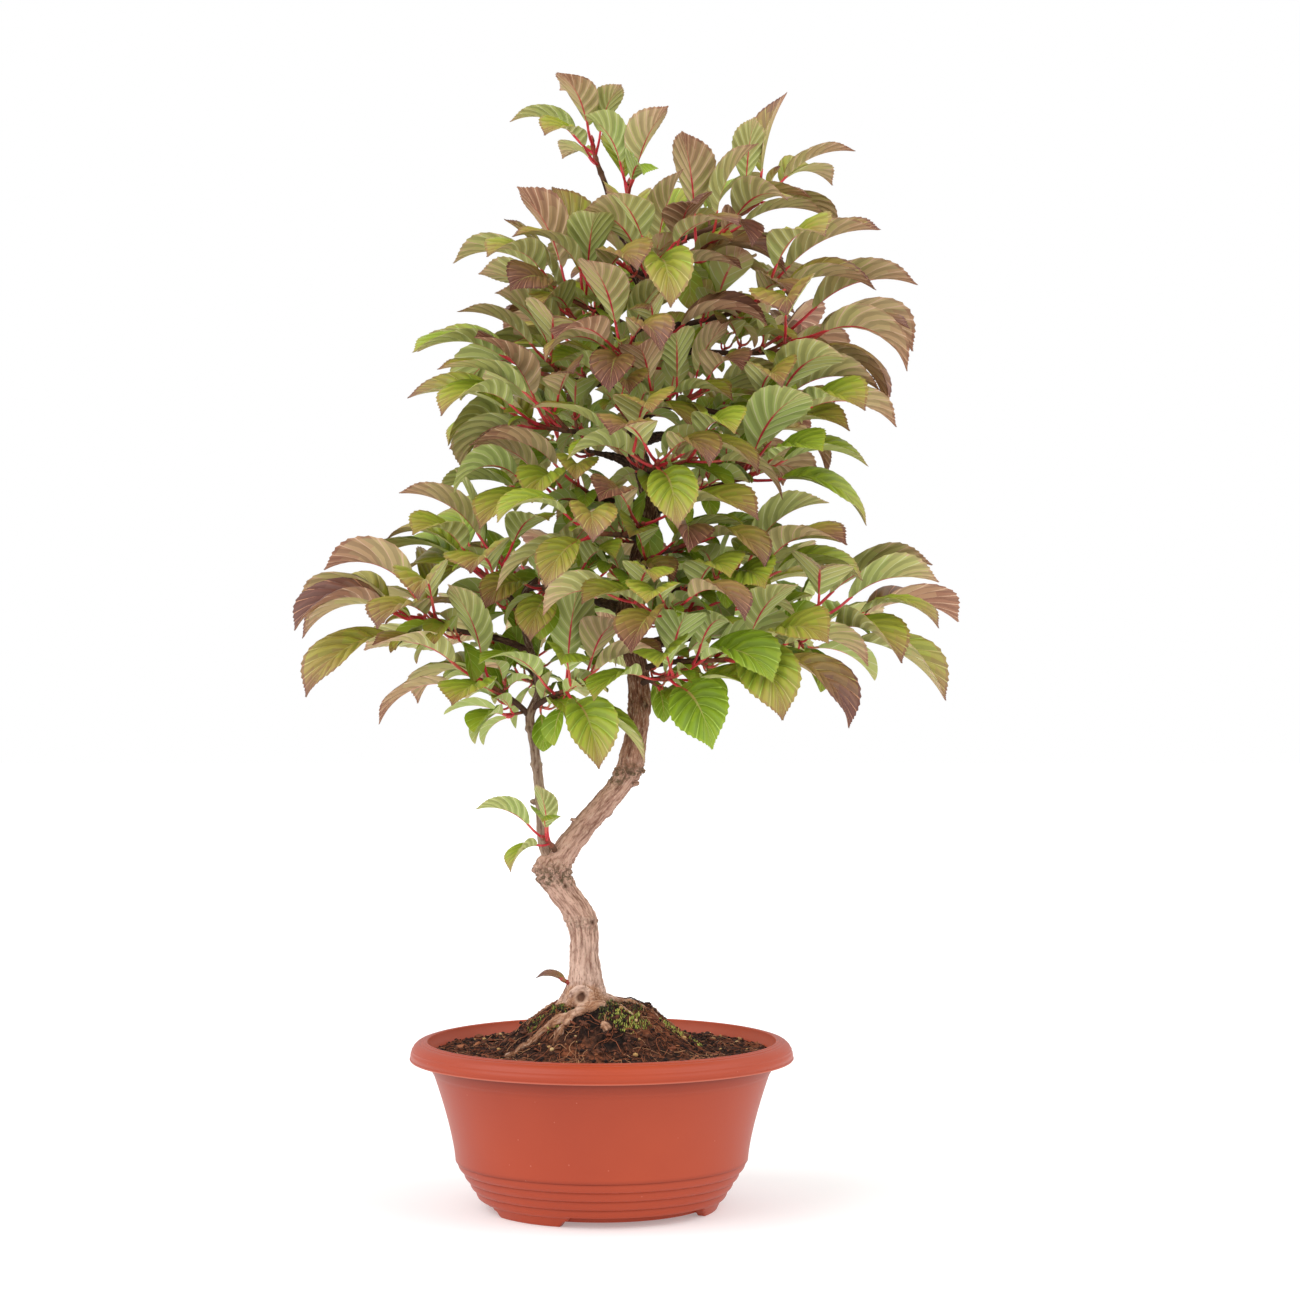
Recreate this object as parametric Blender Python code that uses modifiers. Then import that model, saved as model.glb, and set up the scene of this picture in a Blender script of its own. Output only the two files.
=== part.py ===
# A viburnum grown as a small bonsai, standing in a round clay-coloured training bowl.
# The model is in metres with +Z up. Its origin is on the bowl's axis, at the level of its feet.
# The lengths below are in millimetres, and MM turns them into metres where a mesh is made.

import math
import random

import bmesh
import bpy
from mathutils import Vector
from mathutils.bvhtree import BVHTree

MM = 0.001
# Clear distance between neighbouring pieces
GAP = 0.3
UP = Vector((0.0, 0.0, 1.0))

# Bowl: a convex rim, a flaring body, steps below it and a low ring of feet round a flat base
RIM_RADIUS = 100.0
RIM_INNER_RADIUS = 92.0
RIM_ARC_ANGLES = (0, 45, 90)
POT_HEIGHT = 87.0
LIP_BOTTOM = 77.5
LIP_DEPTH = 2.0
BODY_TOP_RADIUS = 90.5
BODY_FOOT_RADIUS = 76.5
BODY_FOOT_HEIGHT = 24.6
BODY_CURVE = 1.4
WALL = 2.6
STEP_COUNT = 4
STEP_TOP_RADIUS = 75.4
STEP_FOOT_RADIUS = 62.8
STEP_FOOT_HEIGHT = 4.8
STEP_ARC_ANGLES = (0, 50)
FOOT_RADIUS = 60.5
BASE_RADIUS = 56.5
BASE_HEIGHT = 2.0
FLOOR_HEIGHT = 4.6
FLOOR_RADIUS = 52.5
FLOOR_CORNER = 6.0
POT_SIDES = 32

# Notches between the three feet: each is a wide low sector with a narrower one above it
FOOT_COUNT = 3
FIRST_FOOT_ANGLE = -39.0
NOTCH_ANGLES = (79.0, 72.0)
NOTCH_HEIGHTS = (3.0, 5.5)
NOTCH_ARC_STEPS = 8
NOTCH_OVERCUT = 5.0

# Soil: its level at the wall and the mound under the trunk, flat on top and sunk in at its foot
SOIL_LEVEL = 81.0
SOIL_CLEARANCE = 0.42
MOUND_HEIGHT = 26.0
MOUND_RADIUS = 63.0
MOUND_CENTRE = (-3.0, 2.0)
MOUND_FLAT = 0.25
MOUND_SINK = 6.0
MOUND_RINGS = 5
MOUND_SIDES = 20
GROUND_LIFT = 0.39

# Trunk axis as height, x and y, and its radius at a few heights
TRUNK_PATH = (
    (102, -9.0, 0), (124, -9.0, 0), (150, -11.0, 0), (166, -21.3, 0), (176, -26.0, 0), (183, -21.5, 1),
    (199, -9.0, 3), (223, 11.5, 2), (238, 16.2, 0), (256, 19.4, 0), (279, 18.8, 3), (298, 15.0, 5),
    (312, 13.2, 5), (338, 19.4, 3), (360, 24.6, -1), (380, 23.8, -5), (396, 17.8, -5), (418, 19.0, -1),
    (435, 17.8, 3), (461, 20.4, 2), (474, 24.0, 0), (492, 16.0, -3), (512, 8.5, -2), (528, 2.0, -1),
)
TRUNK_RADII = ((102, 7.2), (170, 7.3), (198, 6.0), (396, 5.2), (461, 4.0), (492, 2.6), (528, 1.6))
TRUNK_SIDES = 10
TRUNK_SPACING = 13.0
ROOT_FLARE = 10.0
ROOT_FLARE_FADE = 9.5
KNOBS = ((150, 0.5, 5), (176, 1.8, 6), (236, 0.8, 7), (418, -0.4, 6))
# Surface roots run from under the trunk out over the mound. Each is a direction, a reach and its
# thickest radius, and its end lies this share of the mound's height below its start.
ROOT_CENTRE = Vector((-9.0, 0.0, 0.0))
ROOT_POINTS = 6
ROOT_SIDES = 4
ROOT_START = 3.0
ROOT_LIFT = 2.0
ROOT_FALL = 0.62
ROOT_TAPER = 0.6
ROOT_WANDER = 10.0
SURFACE_ROOTS = ((205, 46, 3.0), (238, 44, 3.6), (291, 34, 2.6), (12, 30, 2.4), (96, 34, 2.8))

# The thin second stem that leaves the knob below the trunk's bend
STEM_PATH = (
    (176, -25.0, 0), (190, -30.5, -3), (213, -32.0, -5), (240, -35.0, -6), (257, -37.4, -7),
    (271, -32.5, -7), (296, -38.7, -6), (308, -40.8, -5), (321, -40.0, -4), (328, -33.0, -4),
)
STEM_RADII = ((176, 3.0), (240, 2.6), (328, 1.9))
STEM_SIDES = 8
STEM_SPACING = 11.0

# Shoots, from the foot of the crown to its top. Each starts on its carrier's axis at one height and
# ends at a tip, given by its height, its compass turn from +X and its reach from the crown's axis.
# Where a bough carries it, the bough takes the first share of that run and the foliage the rest.
CROWN_AXIS = 19.0
CROWN_MIDDLE = 400.0
CROWN_TOP = 550.0
UPPER_LIFT = 24.0
SHOOT_SWAY = 14.0
STEEPEST_TIP = 84.0
CURVE_HANDLE = 0.36
SHOOTS = (
    # name, carrier, start height, tip height, turn, reach, bough share, pairs, side twigs, leaf length
    ("base_shoot", "trunk", 111, 118, 186, 38, 0.0, 1, 0, 17),
    ("fork_shoot", "trunk", 181, 193, 196, 50, 0.0, 2, 0, 33),
    ("stem_low_left", "left_stem", 256, 276, 188, 84, 0.0, 3, 0, 62),
    ("stem_low_right", "left_stem", 260, 273, 222, 44, 0.0, 3, 1, 58),
    ("stem_back", "left_stem", 270, 290, 148, 76, 0.0, 3, 1, 54),
    ("left_low", "left_stem", 290, 306, 184, 117, 0.4, 3, 2, 64),
    ("stem_mid", "left_stem", 309, 333, 191, 85, 0.0, 3, 2, 60),
    ("stem_top", "left_stem", 323, 322, 214, 46, 0.0, 3, 1, 46),
    ("front_bottom", "trunk", 272, 278, 296, 44, 0.0, 3, 1, 60),
    ("right_bottom", "trunk", 280, 288, 334, 66, 0.0, 3, 1, 60),
    ("front_low", "trunk", 300, 311, 285, 64, 0.0, 3, 2, 54),
    ("right_lowest", "trunk", 291, 303, 3, 106, 0.5, 3, 2, 66),
    ("back_low_left", "trunk", 311, 320, 122, 88, 0.4, 3, 2, 60),
    ("back_low_right", "trunk", 304, 316, 57, 94, 0.4, 3, 2, 60),
    ("front_inner_low", "trunk", 324, 334, 246, 32, 0.0, 3, 1, 52),
    ("right_low", "trunk", 316, 326, 338, 62, 0.4, 3, 1, 60),
    ("front_left", "trunk", 346, 352, 246, 64, 0.0, 3, 1, 56),
    ("back_mid", "trunk", 352, 366, 90, 90, 0.45, 3, 2, 60),
    ("right_inner_low", "trunk", 336, 346, 305, 46, 0.0, 3, 1, 54),
    ("right_mid_low", "trunk", 362, 382, 340, 64, 0.4, 3, 1, 62),
    ("left_mid_low", "trunk", 366, 372, 188, 52, 0.0, 3, 1, 56),
    ("front_mid", "trunk", 380, 386, 280, 58, 0.0, 3, 2, 58),
    ("back_mid_left", "trunk", 384, 404, 126, 78, 0.4, 3, 2, 58),
    ("left_mid", "trunk", 397, 408, 200, 57, 0.4, 3, 1, 60),
    ("back_mid_right", "trunk", 399, 408, 50, 84, 0.4, 3, 2, 60),
    ("right_inner_mid", "trunk", 408, 424, 318, 44, 0.0, 3, 1, 46),
    ("front_inner_mid", "trunk", 400, 416, 252, 34, 0.0, 3, 1, 48),
    ("right_mid", "trunk", 418, 411, 338, 80, 0.4, 3, 1, 60),
    ("left_upper_mid", "trunk", 424, 437, 188, 56, 0.4, 3, 1, 58),
    ("front_upper", "trunk", 437, 442, 262, 54, 0.0, 3, 1, 52),
    ("back_upper_left", "trunk", 432, 456, 118, 62, 0.0, 3, 2, 58),
    ("right_upper_mid", "trunk", 444, 450, 357, 84, 0.45, 3, 2, 64),
    ("back_upper_right", "trunk", 441, 462, 54, 66, 0.0, 3, 1, 58),
    ("left_top", "trunk", 450, 464, 164, 42, 0.0, 3, 1, 54),
    ("upper_right", "trunk", 452, 473, 342, 68, 0.4, 3, 1, 60),
    ("upper_left", "trunk", 456, 477, 200, 44, 0.0, 3, 1, 58),
    ("top_front", "trunk", 470, 491, 284, 36, 0.0, 3, 1, 54),
    ("top_back", "trunk", 474, 500, 84, 40, 0.0, 3, 1, 54),
    ("top_right", "trunk", 486, 506, 336, 48, 0.0, 3, 1, 54),
    ("apex_right", "trunk", 490, 532, 10, 69, 0.0, 3, 0, 50),
    ("apex_front", "trunk", 504, 532, 250, 14, 0.0, 2, 0, 42),
    ("apex_left", "trunk", 522, 556, 186, 24, 0.0, 3, 0, 42),
)
BOUGH_RADIUS = 2.9
BOUGH_TIP_RADIUS = 1.5
BOUGH_TO_CARRIER = 0.62
BOUGH_SIDES = 6
BOUGH_RINGS = 3
TWIG_SIDES = 4
TWIG_RADIUS = 1.6
TWIG_TIP_RADIUS = 1.3
TWIG_RINGS = 3
# A side twig starts at this share of the foliage stem, leans forward, and curves up by a little
SIDE_TWIG_STARTS = (0.45, 0.62)
SIDE_TWIG_LENGTHS = (17.0, 25.0)
SIDE_TWIG_FORWARD = 0.75
SIDE_TWIG_RISES = (0.1, 0.5)
SIDE_TWIG_CURVE = 2.0

# Pairs of leaves along a shoot: distances back from its tip, crowding towards the bud, and how
# wide each pair opens from the shoot. A side twig ends in one pair.
NODE_SETBACKS = (2.0, 8.0, 16.0)
NODE_OPENINGS = (34.0, 54.0, 70.0)
SIDE_NODE_SETBACKS = (2.0,)
SIDE_NODE_OPENINGS = (48.0,)
SMALL_LEAF = 45.0
COMMON_LEAF = 58.0
LEAF_SIZES = (0.8, 1.08)
LEAF_TURNS = (-4.0, 20.0)
LEAF_OPENINGS = (-8.0, 8.0)
OUTWARD_PULL = 0.25
# A leaf's stalk, and its blade: width and thickness as shares of its length, fold, bend and roll
PETIOLES = (8.8, 13.2)
PETIOLE_RADIUS = 0.7
ROOT_OFFSET = 0.35
LEAF_HALF_WIDTHS = (0.2475, 0.3025)
LEAF_THICKNESS = 0.018
LEAF_FOLDS = (24.0, 44.0)
LEAF_BENDS = (36.4, 67.6)
LEAF_ROLLS = (-26.0, 26.0)
STEEPEST_LEAF = 80.0
TIP_DROOP = 1.3
# Outline of half a leaf: share of its length and share of its half width
LEAF_ROWS = ((0.36, 0.92), (0.72, 0.84))
# Turns about the shoot, tried in order until a leaf finds a clear place
LEAF_TRIES = (0.0, 16.0, -16.0, 32.0, -32.0, 50.0, -50.0, 70.0, -70.0)
LEAF_CLEARANCE = 0.35
# Faces of a fused mass that meet at less than this angle are merged
FLAT_ANGLE = 2.0


def linear_colour(red, green, blue):
    channels = []
    for value in (red, green, blue):
        share = value / 255.0
        channels.append(share / 12.92 if share <= 0.04045 else ((share + 0.055) / 1.055) ** 2.4)
    return (*channels, 1.0)


def principled(name, colour, roughness):
    material = bpy.data.materials.new(name)
    material.use_nodes = True
    shader = material.node_tree.nodes["Principled BSDF"]
    shader.inputs["Base Color"].default_value = linear_colour(*colour)
    shader.inputs["Roughness"].default_value = roughness
    shader.inputs["Metallic"].default_value = 0.0
    material.diffuse_color = linear_colour(*colour)
    return material


def clear_scene():
    for item in list(bpy.data.objects):
        bpy.data.objects.remove(item, do_unlink=True)


def new_collection(name):
    collection = bpy.data.collections.new(name)
    bpy.context.scene.collection.children.link(collection)
    return collection


def add_object(name, mesh, collection):
    item = bpy.data.objects.new(name, mesh)
    collection.objects.link(item)
    return item


def evaluated_mesh(item):
    depsgraph = bpy.context.evaluated_depsgraph_get()
    return bpy.data.meshes.new_from_object(item.evaluated_get(depsgraph))


def apply_modifiers(item):
    mesh = evaluated_mesh(item)
    item.modifiers.clear()
    item.data = mesh


def add_boolean(item, operation, other, solver="EXACT"):
    modifier = item.modifiers.new(operation.lower(), "BOOLEAN")
    modifier.operation = operation
    modifier.solver = solver
    if isinstance(other, bpy.types.Collection):
        modifier.operand_type = "COLLECTION"
        modifier.collection = other
    else:
        modifier.object = other
    return modifier


def as_cutter(item):
    item.hide_render = True
    item.display_type = "WIRE"
    return item


def turned(name, profile, sides, collection):
    mesh = bpy.data.meshes.new(name)
    mesh.from_pydata([(r * MM, 0.0, z * MM) for r, z in profile],
                     [(i, i + 1) for i in range(len(profile) - 1)], [])
    item = add_object(name, mesh, collection)
    screw = item.modifiers.new("turn", "SCREW")
    screw.steps = sides
    screw.render_steps = sides
    screw.use_merge_vertices = True
    screw.merge_threshold = 0.00001
    return item


def limb(name, points, radii, sides, collection):
    # A tapering limb: a round curve whose thickness follows the radius at each of its points
    curve = bpy.data.curves.new(name, "CURVE")
    curve.dimensions = "3D"
    curve.bevel_depth = MM
    curve.bevel_resolution = (sides - 4) // 2
    curve.use_fill_caps = True
    spline = curve.splines.new("POLY")
    spline.points.add(len(points) - 1)
    for place, point, radius in zip(spline.points, points, radii):
        place.co = (*(point * MM), 1.0)
        place.radius = radius
    curve_object = add_object(name + "_curve", curve, collection)
    mesh = evaluated_mesh(curve_object)
    bpy.data.objects.remove(curve_object, do_unlink=True)
    bpy.data.curves.remove(curve)
    edit = bmesh.new()
    edit.from_mesh(mesh)
    bmesh.ops.remove_doubles(edit, verts=edit.verts, dist=0.000005)
    bmesh.ops.recalc_face_normals(edit, faces=edit.faces)
    edit.to_mesh(mesh)
    edit.free()
    mesh.name = name
    return add_object(name, mesh, collection)


def finish(item, material):
    item.data.materials.clear()
    item.data.materials.append(material)


def smooth_path(stations, spacing):
    # A Catmull-Rom curve through stations of height, x and y, sampled about every spacing
    points = [Vector((x, y, height)) for height, x, y in stations]
    padded = [2 * points[0] - points[1], *points, 2 * points[-1] - points[-2]]
    path = []
    for a, b, c, d in zip(padded, padded[1:], padded[2:], padded[3:]):
        count = max(1, round((c - b).length / spacing))
        for step in range(count):
            t = step / count
            path.append(0.5 * (2 * b + (c - a) * t + (2 * a - 5 * b + 4 * c - d) * t * t
                               + (3 * b - a - 3 * c + d) * t ** 3))
    path.append(points[-1])
    return path


def value_at(pairs, height):
    # Straight-line value between named heights
    if height <= pairs[0][0]:
        return pairs[0][1]
    for (low, first), (high, second) in zip(pairs, pairs[1:]):
        if height <= high:
            return first + (second - first) * (height - low) / (high - low)
    return pairs[-1][1]


def point_at(path, height):
    for low, high in zip(path, path[1:]):
        if low.z <= height <= high.z:
            return low.lerp(high, (height - low.z) / max(high.z - low.z, 1e-6))
    return path[-1].copy()


def trunk_radius(height):
    radius = value_at(TRUNK_RADII, height)
    radius += ROOT_FLARE * math.exp(-(height - TRUNK_PATH[0][0]) / ROOT_FLARE_FADE)
    for knob, swell, spread in KNOBS:
        radius += swell * math.exp(-((height - knob) / spread) ** 2)
    return radius


def stem_radius(height):
    return value_at(STEM_RADII, height)


def body_radius(height):
    # The bowl's wall leaves its steps almost upright and flares out towards the rim
    share = (height - BODY_FOOT_HEIGHT) / (LIP_BOTTOM - BODY_FOOT_HEIGHT)
    return BODY_FOOT_RADIUS + (BODY_TOP_RADIUS - BODY_FOOT_RADIUS) * share ** BODY_CURVE


def inner_wall():
    # From the edge of the bowl's floor up to below the rim
    wall = [(FLOOR_RADIUS, FLOOR_HEIGHT), (FOOT_RADIUS, FLOOR_HEIGHT + FLOOR_CORNER),
            (BODY_FOOT_RADIUS - WALL, BODY_FOOT_HEIGHT + 1.0)]
    for share in (0.4, 0.75):
        height = BODY_FOOT_HEIGHT + share * (LIP_BOTTOM - BODY_FOOT_HEIGHT)
        wall.append((body_radius(height) - WALL, height))
    wall.append((RIM_INNER_RADIUS - 1.6, POT_HEIGHT - 4.0))
    return wall


def pot_profile():
    # From the middle of the floor, up the inside, over the rim and down the outside to the base
    profile = [(0.0, FLOOR_HEIGHT), *inner_wall(), (RIM_INNER_RADIUS, POT_HEIGHT - 0.6)]
    crest = RIM_INNER_RADIUS + 1.0
    for angle in RIM_ARC_ANGLES:
        turn = math.radians(angle)
        profile.append((crest + (RIM_RADIUS - crest) * math.sin(turn),
                        LIP_BOTTOM + LIP_DEPTH + (POT_HEIGHT - LIP_BOTTOM - LIP_DEPTH) * math.cos(turn)))
    profile.append((RIM_RADIUS - 0.6, LIP_BOTTOM))
    for share in (0.98, 0.62, 0.3):
        height = BODY_FOOT_HEIGHT + share * (LIP_BOTTOM - BODY_FOOT_HEIGHT)
        profile.append((body_radius(height), height))
    profile.append((BODY_FOOT_RADIUS, BODY_FOOT_HEIGHT))
    inward = (STEP_TOP_RADIUS - STEP_FOOT_RADIUS) / STEP_COUNT
    drop = (BODY_FOOT_HEIGHT - STEP_FOOT_HEIGHT) / STEP_COUNT
    for step in range(STEP_COUNT):
        for angle in STEP_ARC_ANGLES:
            turn = math.radians(angle)
            profile.append((STEP_TOP_RADIUS - inward * (step + 1.0 - math.cos(turn)),
                            BODY_FOOT_HEIGHT - drop * (step + math.sin(turn))))
    profile += [(STEP_FOOT_RADIUS, STEP_FOOT_HEIGHT), (FOOT_RADIUS, 0.0), (BASE_RADIUS, 0.0),
                (BASE_RADIUS, BASE_HEIGHT), (0.0, BASE_HEIGHT)]
    return profile


def notch_cutter(name, middle, width, height, collection):
    # A flat sector of a ring, standing from below the feet to the notch's top
    edit = bmesh.new()
    inner, outer = BASE_RADIUS - 0.6, RIM_RADIUS
    shares = [step / NOTCH_ARC_STEPS for step in range(NOTCH_ARC_STEPS + 1)]
    arc = [math.radians(middle + width * (share - 0.5)) for share in shares]
    corners = [(inner * math.sin(a), -inner * math.cos(a)) for a in arc]
    corners += [(outer * math.sin(a), -outer * math.cos(a)) for a in reversed(arc)]
    verts = [edit.verts.new((x * MM, y * MM, -NOTCH_OVERCUT * MM)) for x, y in corners]
    face = edit.faces.new(verts)
    raised = bmesh.ops.extrude_face_region(edit, geom=[face])["geom"]
    moved = [v for v in raised if isinstance(v, bmesh.types.BMVert)]
    bmesh.ops.translate(edit, verts=moved, vec=(0.0, 0.0, (height + NOTCH_OVERCUT) * MM))
    bmesh.ops.recalc_face_normals(edit, faces=edit.faces)
    mesh = bpy.data.meshes.new(name)
    edit.to_mesh(mesh)
    edit.free()
    return as_cutter(add_object(name, mesh, collection))


def make_pot(parts, cutters):
    pot = turned("pot", pot_profile(), POT_SIDES, parts)
    for foot in range(FOOT_COUNT):
        middle = FIRST_FOOT_ANGLE + (foot + 0.5) * 360.0 / FOOT_COUNT
        for level, (width, height) in enumerate(zip(NOTCH_ANGLES, NOTCH_HEIGHTS)):
            cutter = notch_cutter(f"notch_{foot}_{level}", middle, width, height, cutters)
            add_boolean(pot, "DIFFERENCE", cutter)
    return pot


def mound_profile(lift):
    # Down from the flat top to the foot: half a cosine wave, then the part that is sunk in
    profile = [(0.0, SOIL_LEVEL + MOUND_HEIGHT + lift)]
    for step in range(MOUND_RINGS + 1):
        share = step / MOUND_RINGS
        radius = MOUND_RADIUS * (MOUND_FLAT + (1.0 - MOUND_FLAT) * share)
        rise = MOUND_HEIGHT * 0.5 * (1.0 + math.cos(math.pi * share))
        profile.append((radius, SOIL_LEVEL + rise + lift))
    foot = SOIL_LEVEL - MOUND_SINK + lift
    return profile + [(MOUND_RADIUS, foot), (0.0, foot)]


def make_mound(name, lift, collection):
    mound = turned(name, mound_profile(lift), MOUND_SIDES, collection)
    mound.location = (MOUND_CENTRE[0] * MM, MOUND_CENTRE[1] * MM, 0.0)
    return mound


def make_soil(parts, cutters):
    wall = [(radius - SOIL_CLEARANCE, height) for radius, height in inner_wall()[:-1]]
    wall[0] = (wall[0][0], FLOOR_HEIGHT + SOIL_CLEARANCE)
    top_radius = value_at([(z, r) for r, z in inner_wall()], SOIL_LEVEL) - SOIL_CLEARANCE
    profile = [(0.0, wall[0][1]), *wall, (top_radius, SOIL_LEVEL), (0.0, SOIL_LEVEL)]
    soil = turned("soil", profile[::-1], POT_SIDES, parts)
    mound = as_cutter(make_mound("mound", 0.0, cutters))
    add_boolean(soil, "UNION", mound)
    return soil


def root_points(turn, reach, number):
    # A root leaves the trunk's foot just above the mound and follows its slope down, wandering a little
    points = []
    for step in range(ROOT_POINTS):
        share = step / (ROOT_POINTS - 1)
        way = math.radians(turn + ROOT_WANDER * math.sin(3.0 * share + number))
        out = ROOT_START + (reach - ROOT_START) * share
        height = SOIL_LEVEL + MOUND_HEIGHT * (1.0 - ROOT_FALL * share ** 1.5) + ROOT_LIFT * (1.0 - share)
        points.append(ROOT_CENTRE + Vector((out * math.cos(way), out * math.sin(way), height)))
    return points


def make_trunk(parts, cutters):
    path = smooth_path(TRUNK_PATH, TRUNK_SPACING)
    trunk = limb("trunk", path, [trunk_radius(p.z) for p in path], TRUNK_SIDES, parts)
    roots = new_collection("surface roots")
    for number, (turn, reach, thickness) in enumerate(SURFACE_ROOTS):
        points = root_points(turn, reach, number)
        radii = [thickness * (1.0 - ROOT_TAPER * step / (ROOT_POINTS - 1)) for step in range(ROOT_POINTS)]
        limb(f"root_{number}", points, radii, ROOT_SIDES, roots)
    add_boolean(trunk, "UNION", roots)
    apply_modifiers(trunk)
    remove_collection(roots)
    ground = as_cutter(make_mound("ground", GROUND_LIFT, cutters))
    add_boolean(trunk, "DIFFERENCE", ground)
    apply_modifiers(trunk)
    largest_body(trunk.data)
    cutter = limb("trunk_seat", path, [trunk_radius(p.z) + GAP for p in path], TRUNK_SIDES, cutters)
    return trunk, path, as_cutter(cutter)


def make_stem(parts, cutters, trunk_seat):
    path = smooth_path(STEM_PATH, STEM_SPACING)
    stem = limb("left_stem", path, [stem_radius(p.z) for p in path], STEM_SIDES, parts)
    add_boolean(stem, "DIFFERENCE", trunk_seat)
    cutter = limb("left_stem_seat", path, [stem_radius(p.z) + GAP for p in path], STEM_SIDES, cutters)
    return stem, path, as_cutter(cutter)


def remove_collection(collection):
    for item in list(collection.objects):
        bpy.data.objects.remove(item, do_unlink=True)
    bpy.data.collections.remove(collection)


def heading(turn, rise):
    turn, rise = math.radians(turn), math.radians(rise)
    return Vector((math.cos(turn) * math.cos(rise), math.sin(turn) * math.cos(rise), math.sin(rise)))


def bezier(start, end, leave, arrive, share):
    reach = (end - start).length * CURVE_HANDLE
    points = (start, start + leave * reach, end - arrive * reach, end)
    rest = 1.0 - share
    weights = (rest ** 3, 3 * rest * rest * share, 3 * rest * share * share, share ** 3)
    return sum((p * w for p, w in zip(points, weights)), Vector())


def tube_solid(points, radii):
    # A four-sided twig, closed at both ends, whose flat sides face the pairs of leaves
    verts = []
    for index, (point, radius) in enumerate(zip(points, radii)):
        along = (points[min(index + 1, len(points) - 1)] - points[max(index - 1, 0)]).normalized()
        side = along.cross(UP if abs(along.z) < 0.9 else Vector((1.0, 0.0, 0.0))).normalized()
        over = side.cross(along)
        for corner in range(TWIG_SIDES):
            angle = math.radians((corner + 0.5) * 360.0 / TWIG_SIDES)
            verts.append(point + (side * math.cos(angle) + over * math.sin(angle)) * radius)
    faces = [tuple(reversed(range(TWIG_SIDES)))]
    for ring in range(len(points) - 1):
        for corner in range(TWIG_SIDES):
            a = TWIG_SIDES * ring + corner
            b = TWIG_SIDES * ring + (corner + 1) % TWIG_SIDES
            faces.append((a, b, b + TWIG_SIDES, a + TWIG_SIDES))
    last = TWIG_SIDES * (len(points) - 1)
    faces.append(tuple(range(last, last + TWIG_SIDES)))
    return verts, faces


def between(limits, share):
    return limits[0] + (limits[1] - limits[0]) * share


def leaf_solid(root, along, length, draw, margin):
    # A petiole that widens into a blade, folded at its midrib and arching down to a sharp tip
    flat = Vector((along.x, along.y, 0.0))
    flat = flat.normalized() if flat.length > 0.05 else Vector((1.0, 0.0, 0.0))
    pitch = math.asin(max(-1.0, min(1.0, along.z)))
    petiole = between(PETIOLES, draw["petiole"]) * length / COMMON_LEAF
    # A leaf that points up hardly bends, and a level one arches over
    bend = math.radians(between(LEAF_BENDS, draw["bend"])) * (0.25 + 0.75 * math.cos(pitch))
    first_pitch = min(pitch + 0.3 * bend, math.radians(STEEPEST_LEAF))
    roll = math.radians(between(LEAF_ROLLS, draw["roll"]))
    fold = math.radians(between(LEAF_FOLDS, draw["fold"]))
    half_width = length * between(LEAF_HALF_WIDTHS, draw["width"])
    thick = length * LEAF_THICKNESS + margin

    def frame(angle):
        tangent = flat * math.cos(angle) + UP * math.sin(angle)
        level = tangent.cross(UP).normalized()
        upper = level.cross(tangent)
        side = level * math.cos(roll) + upper * math.sin(roll)
        return tangent, side, side.cross(tangent)

    verts = []
    place = root.copy()
    for radius, run in ((PETIOLE_RADIUS, petiole), (PETIOLE_RADIUS * 0.85, 0.0)):
        tangent, side, upper = frame(first_pitch)
        for angle in (150.0, 30.0, 270.0):
            turn = math.radians(angle)
            verts.append(place + (side * -math.cos(turn) + upper * math.sin(turn)) * (radius + margin))
        place = place + tangent * run
    previous = 0.0
    for share, width in (*LEAF_ROWS, (1.0, 0.0)):
        middle = 0.5 * (previous + share)
        place = place + frame(first_pitch - bend * middle * TIP_DROOP)[0] * (length * (share - previous))
        previous = share
        tangent, side, upper = frame(first_pitch - bend * share * TIP_DROOP)
        if width == 0.0:
            verts.append(place + tangent * margin)
            break
        spread = side * math.cos(fold) * (half_width * width + margin)
        lift = upper * math.sin(fold) * (half_width * width)
        verts += [place + spread + lift, place, place - spread + lift, place - upper * thick]
    faces = [(2, 1, 0), (0, 1, 4, 3), (1, 2, 5, 4), (2, 0, 3, 5)]
    faces += [(3, 4, 7), (3, 7, 6), (4, 8, 7), (4, 5, 9, 8), (5, 3, 6, 9)]
    for corner in range(4):
        a, b = 6 + corner, 6 + (corner + 1) % 4
        faces.append((a, b, b + 4, a + 4))
        faces.append((a + 4, b + 4, 14))
    return verts, faces


def leaf_draws(name, node, side):
    source = random.Random(f"{name} {node} {side}")
    traits = ("petiole", "bend", "roll", "fold", "width", "turn", "open", "size")
    return {trait: source.random() for trait in traits}


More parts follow.
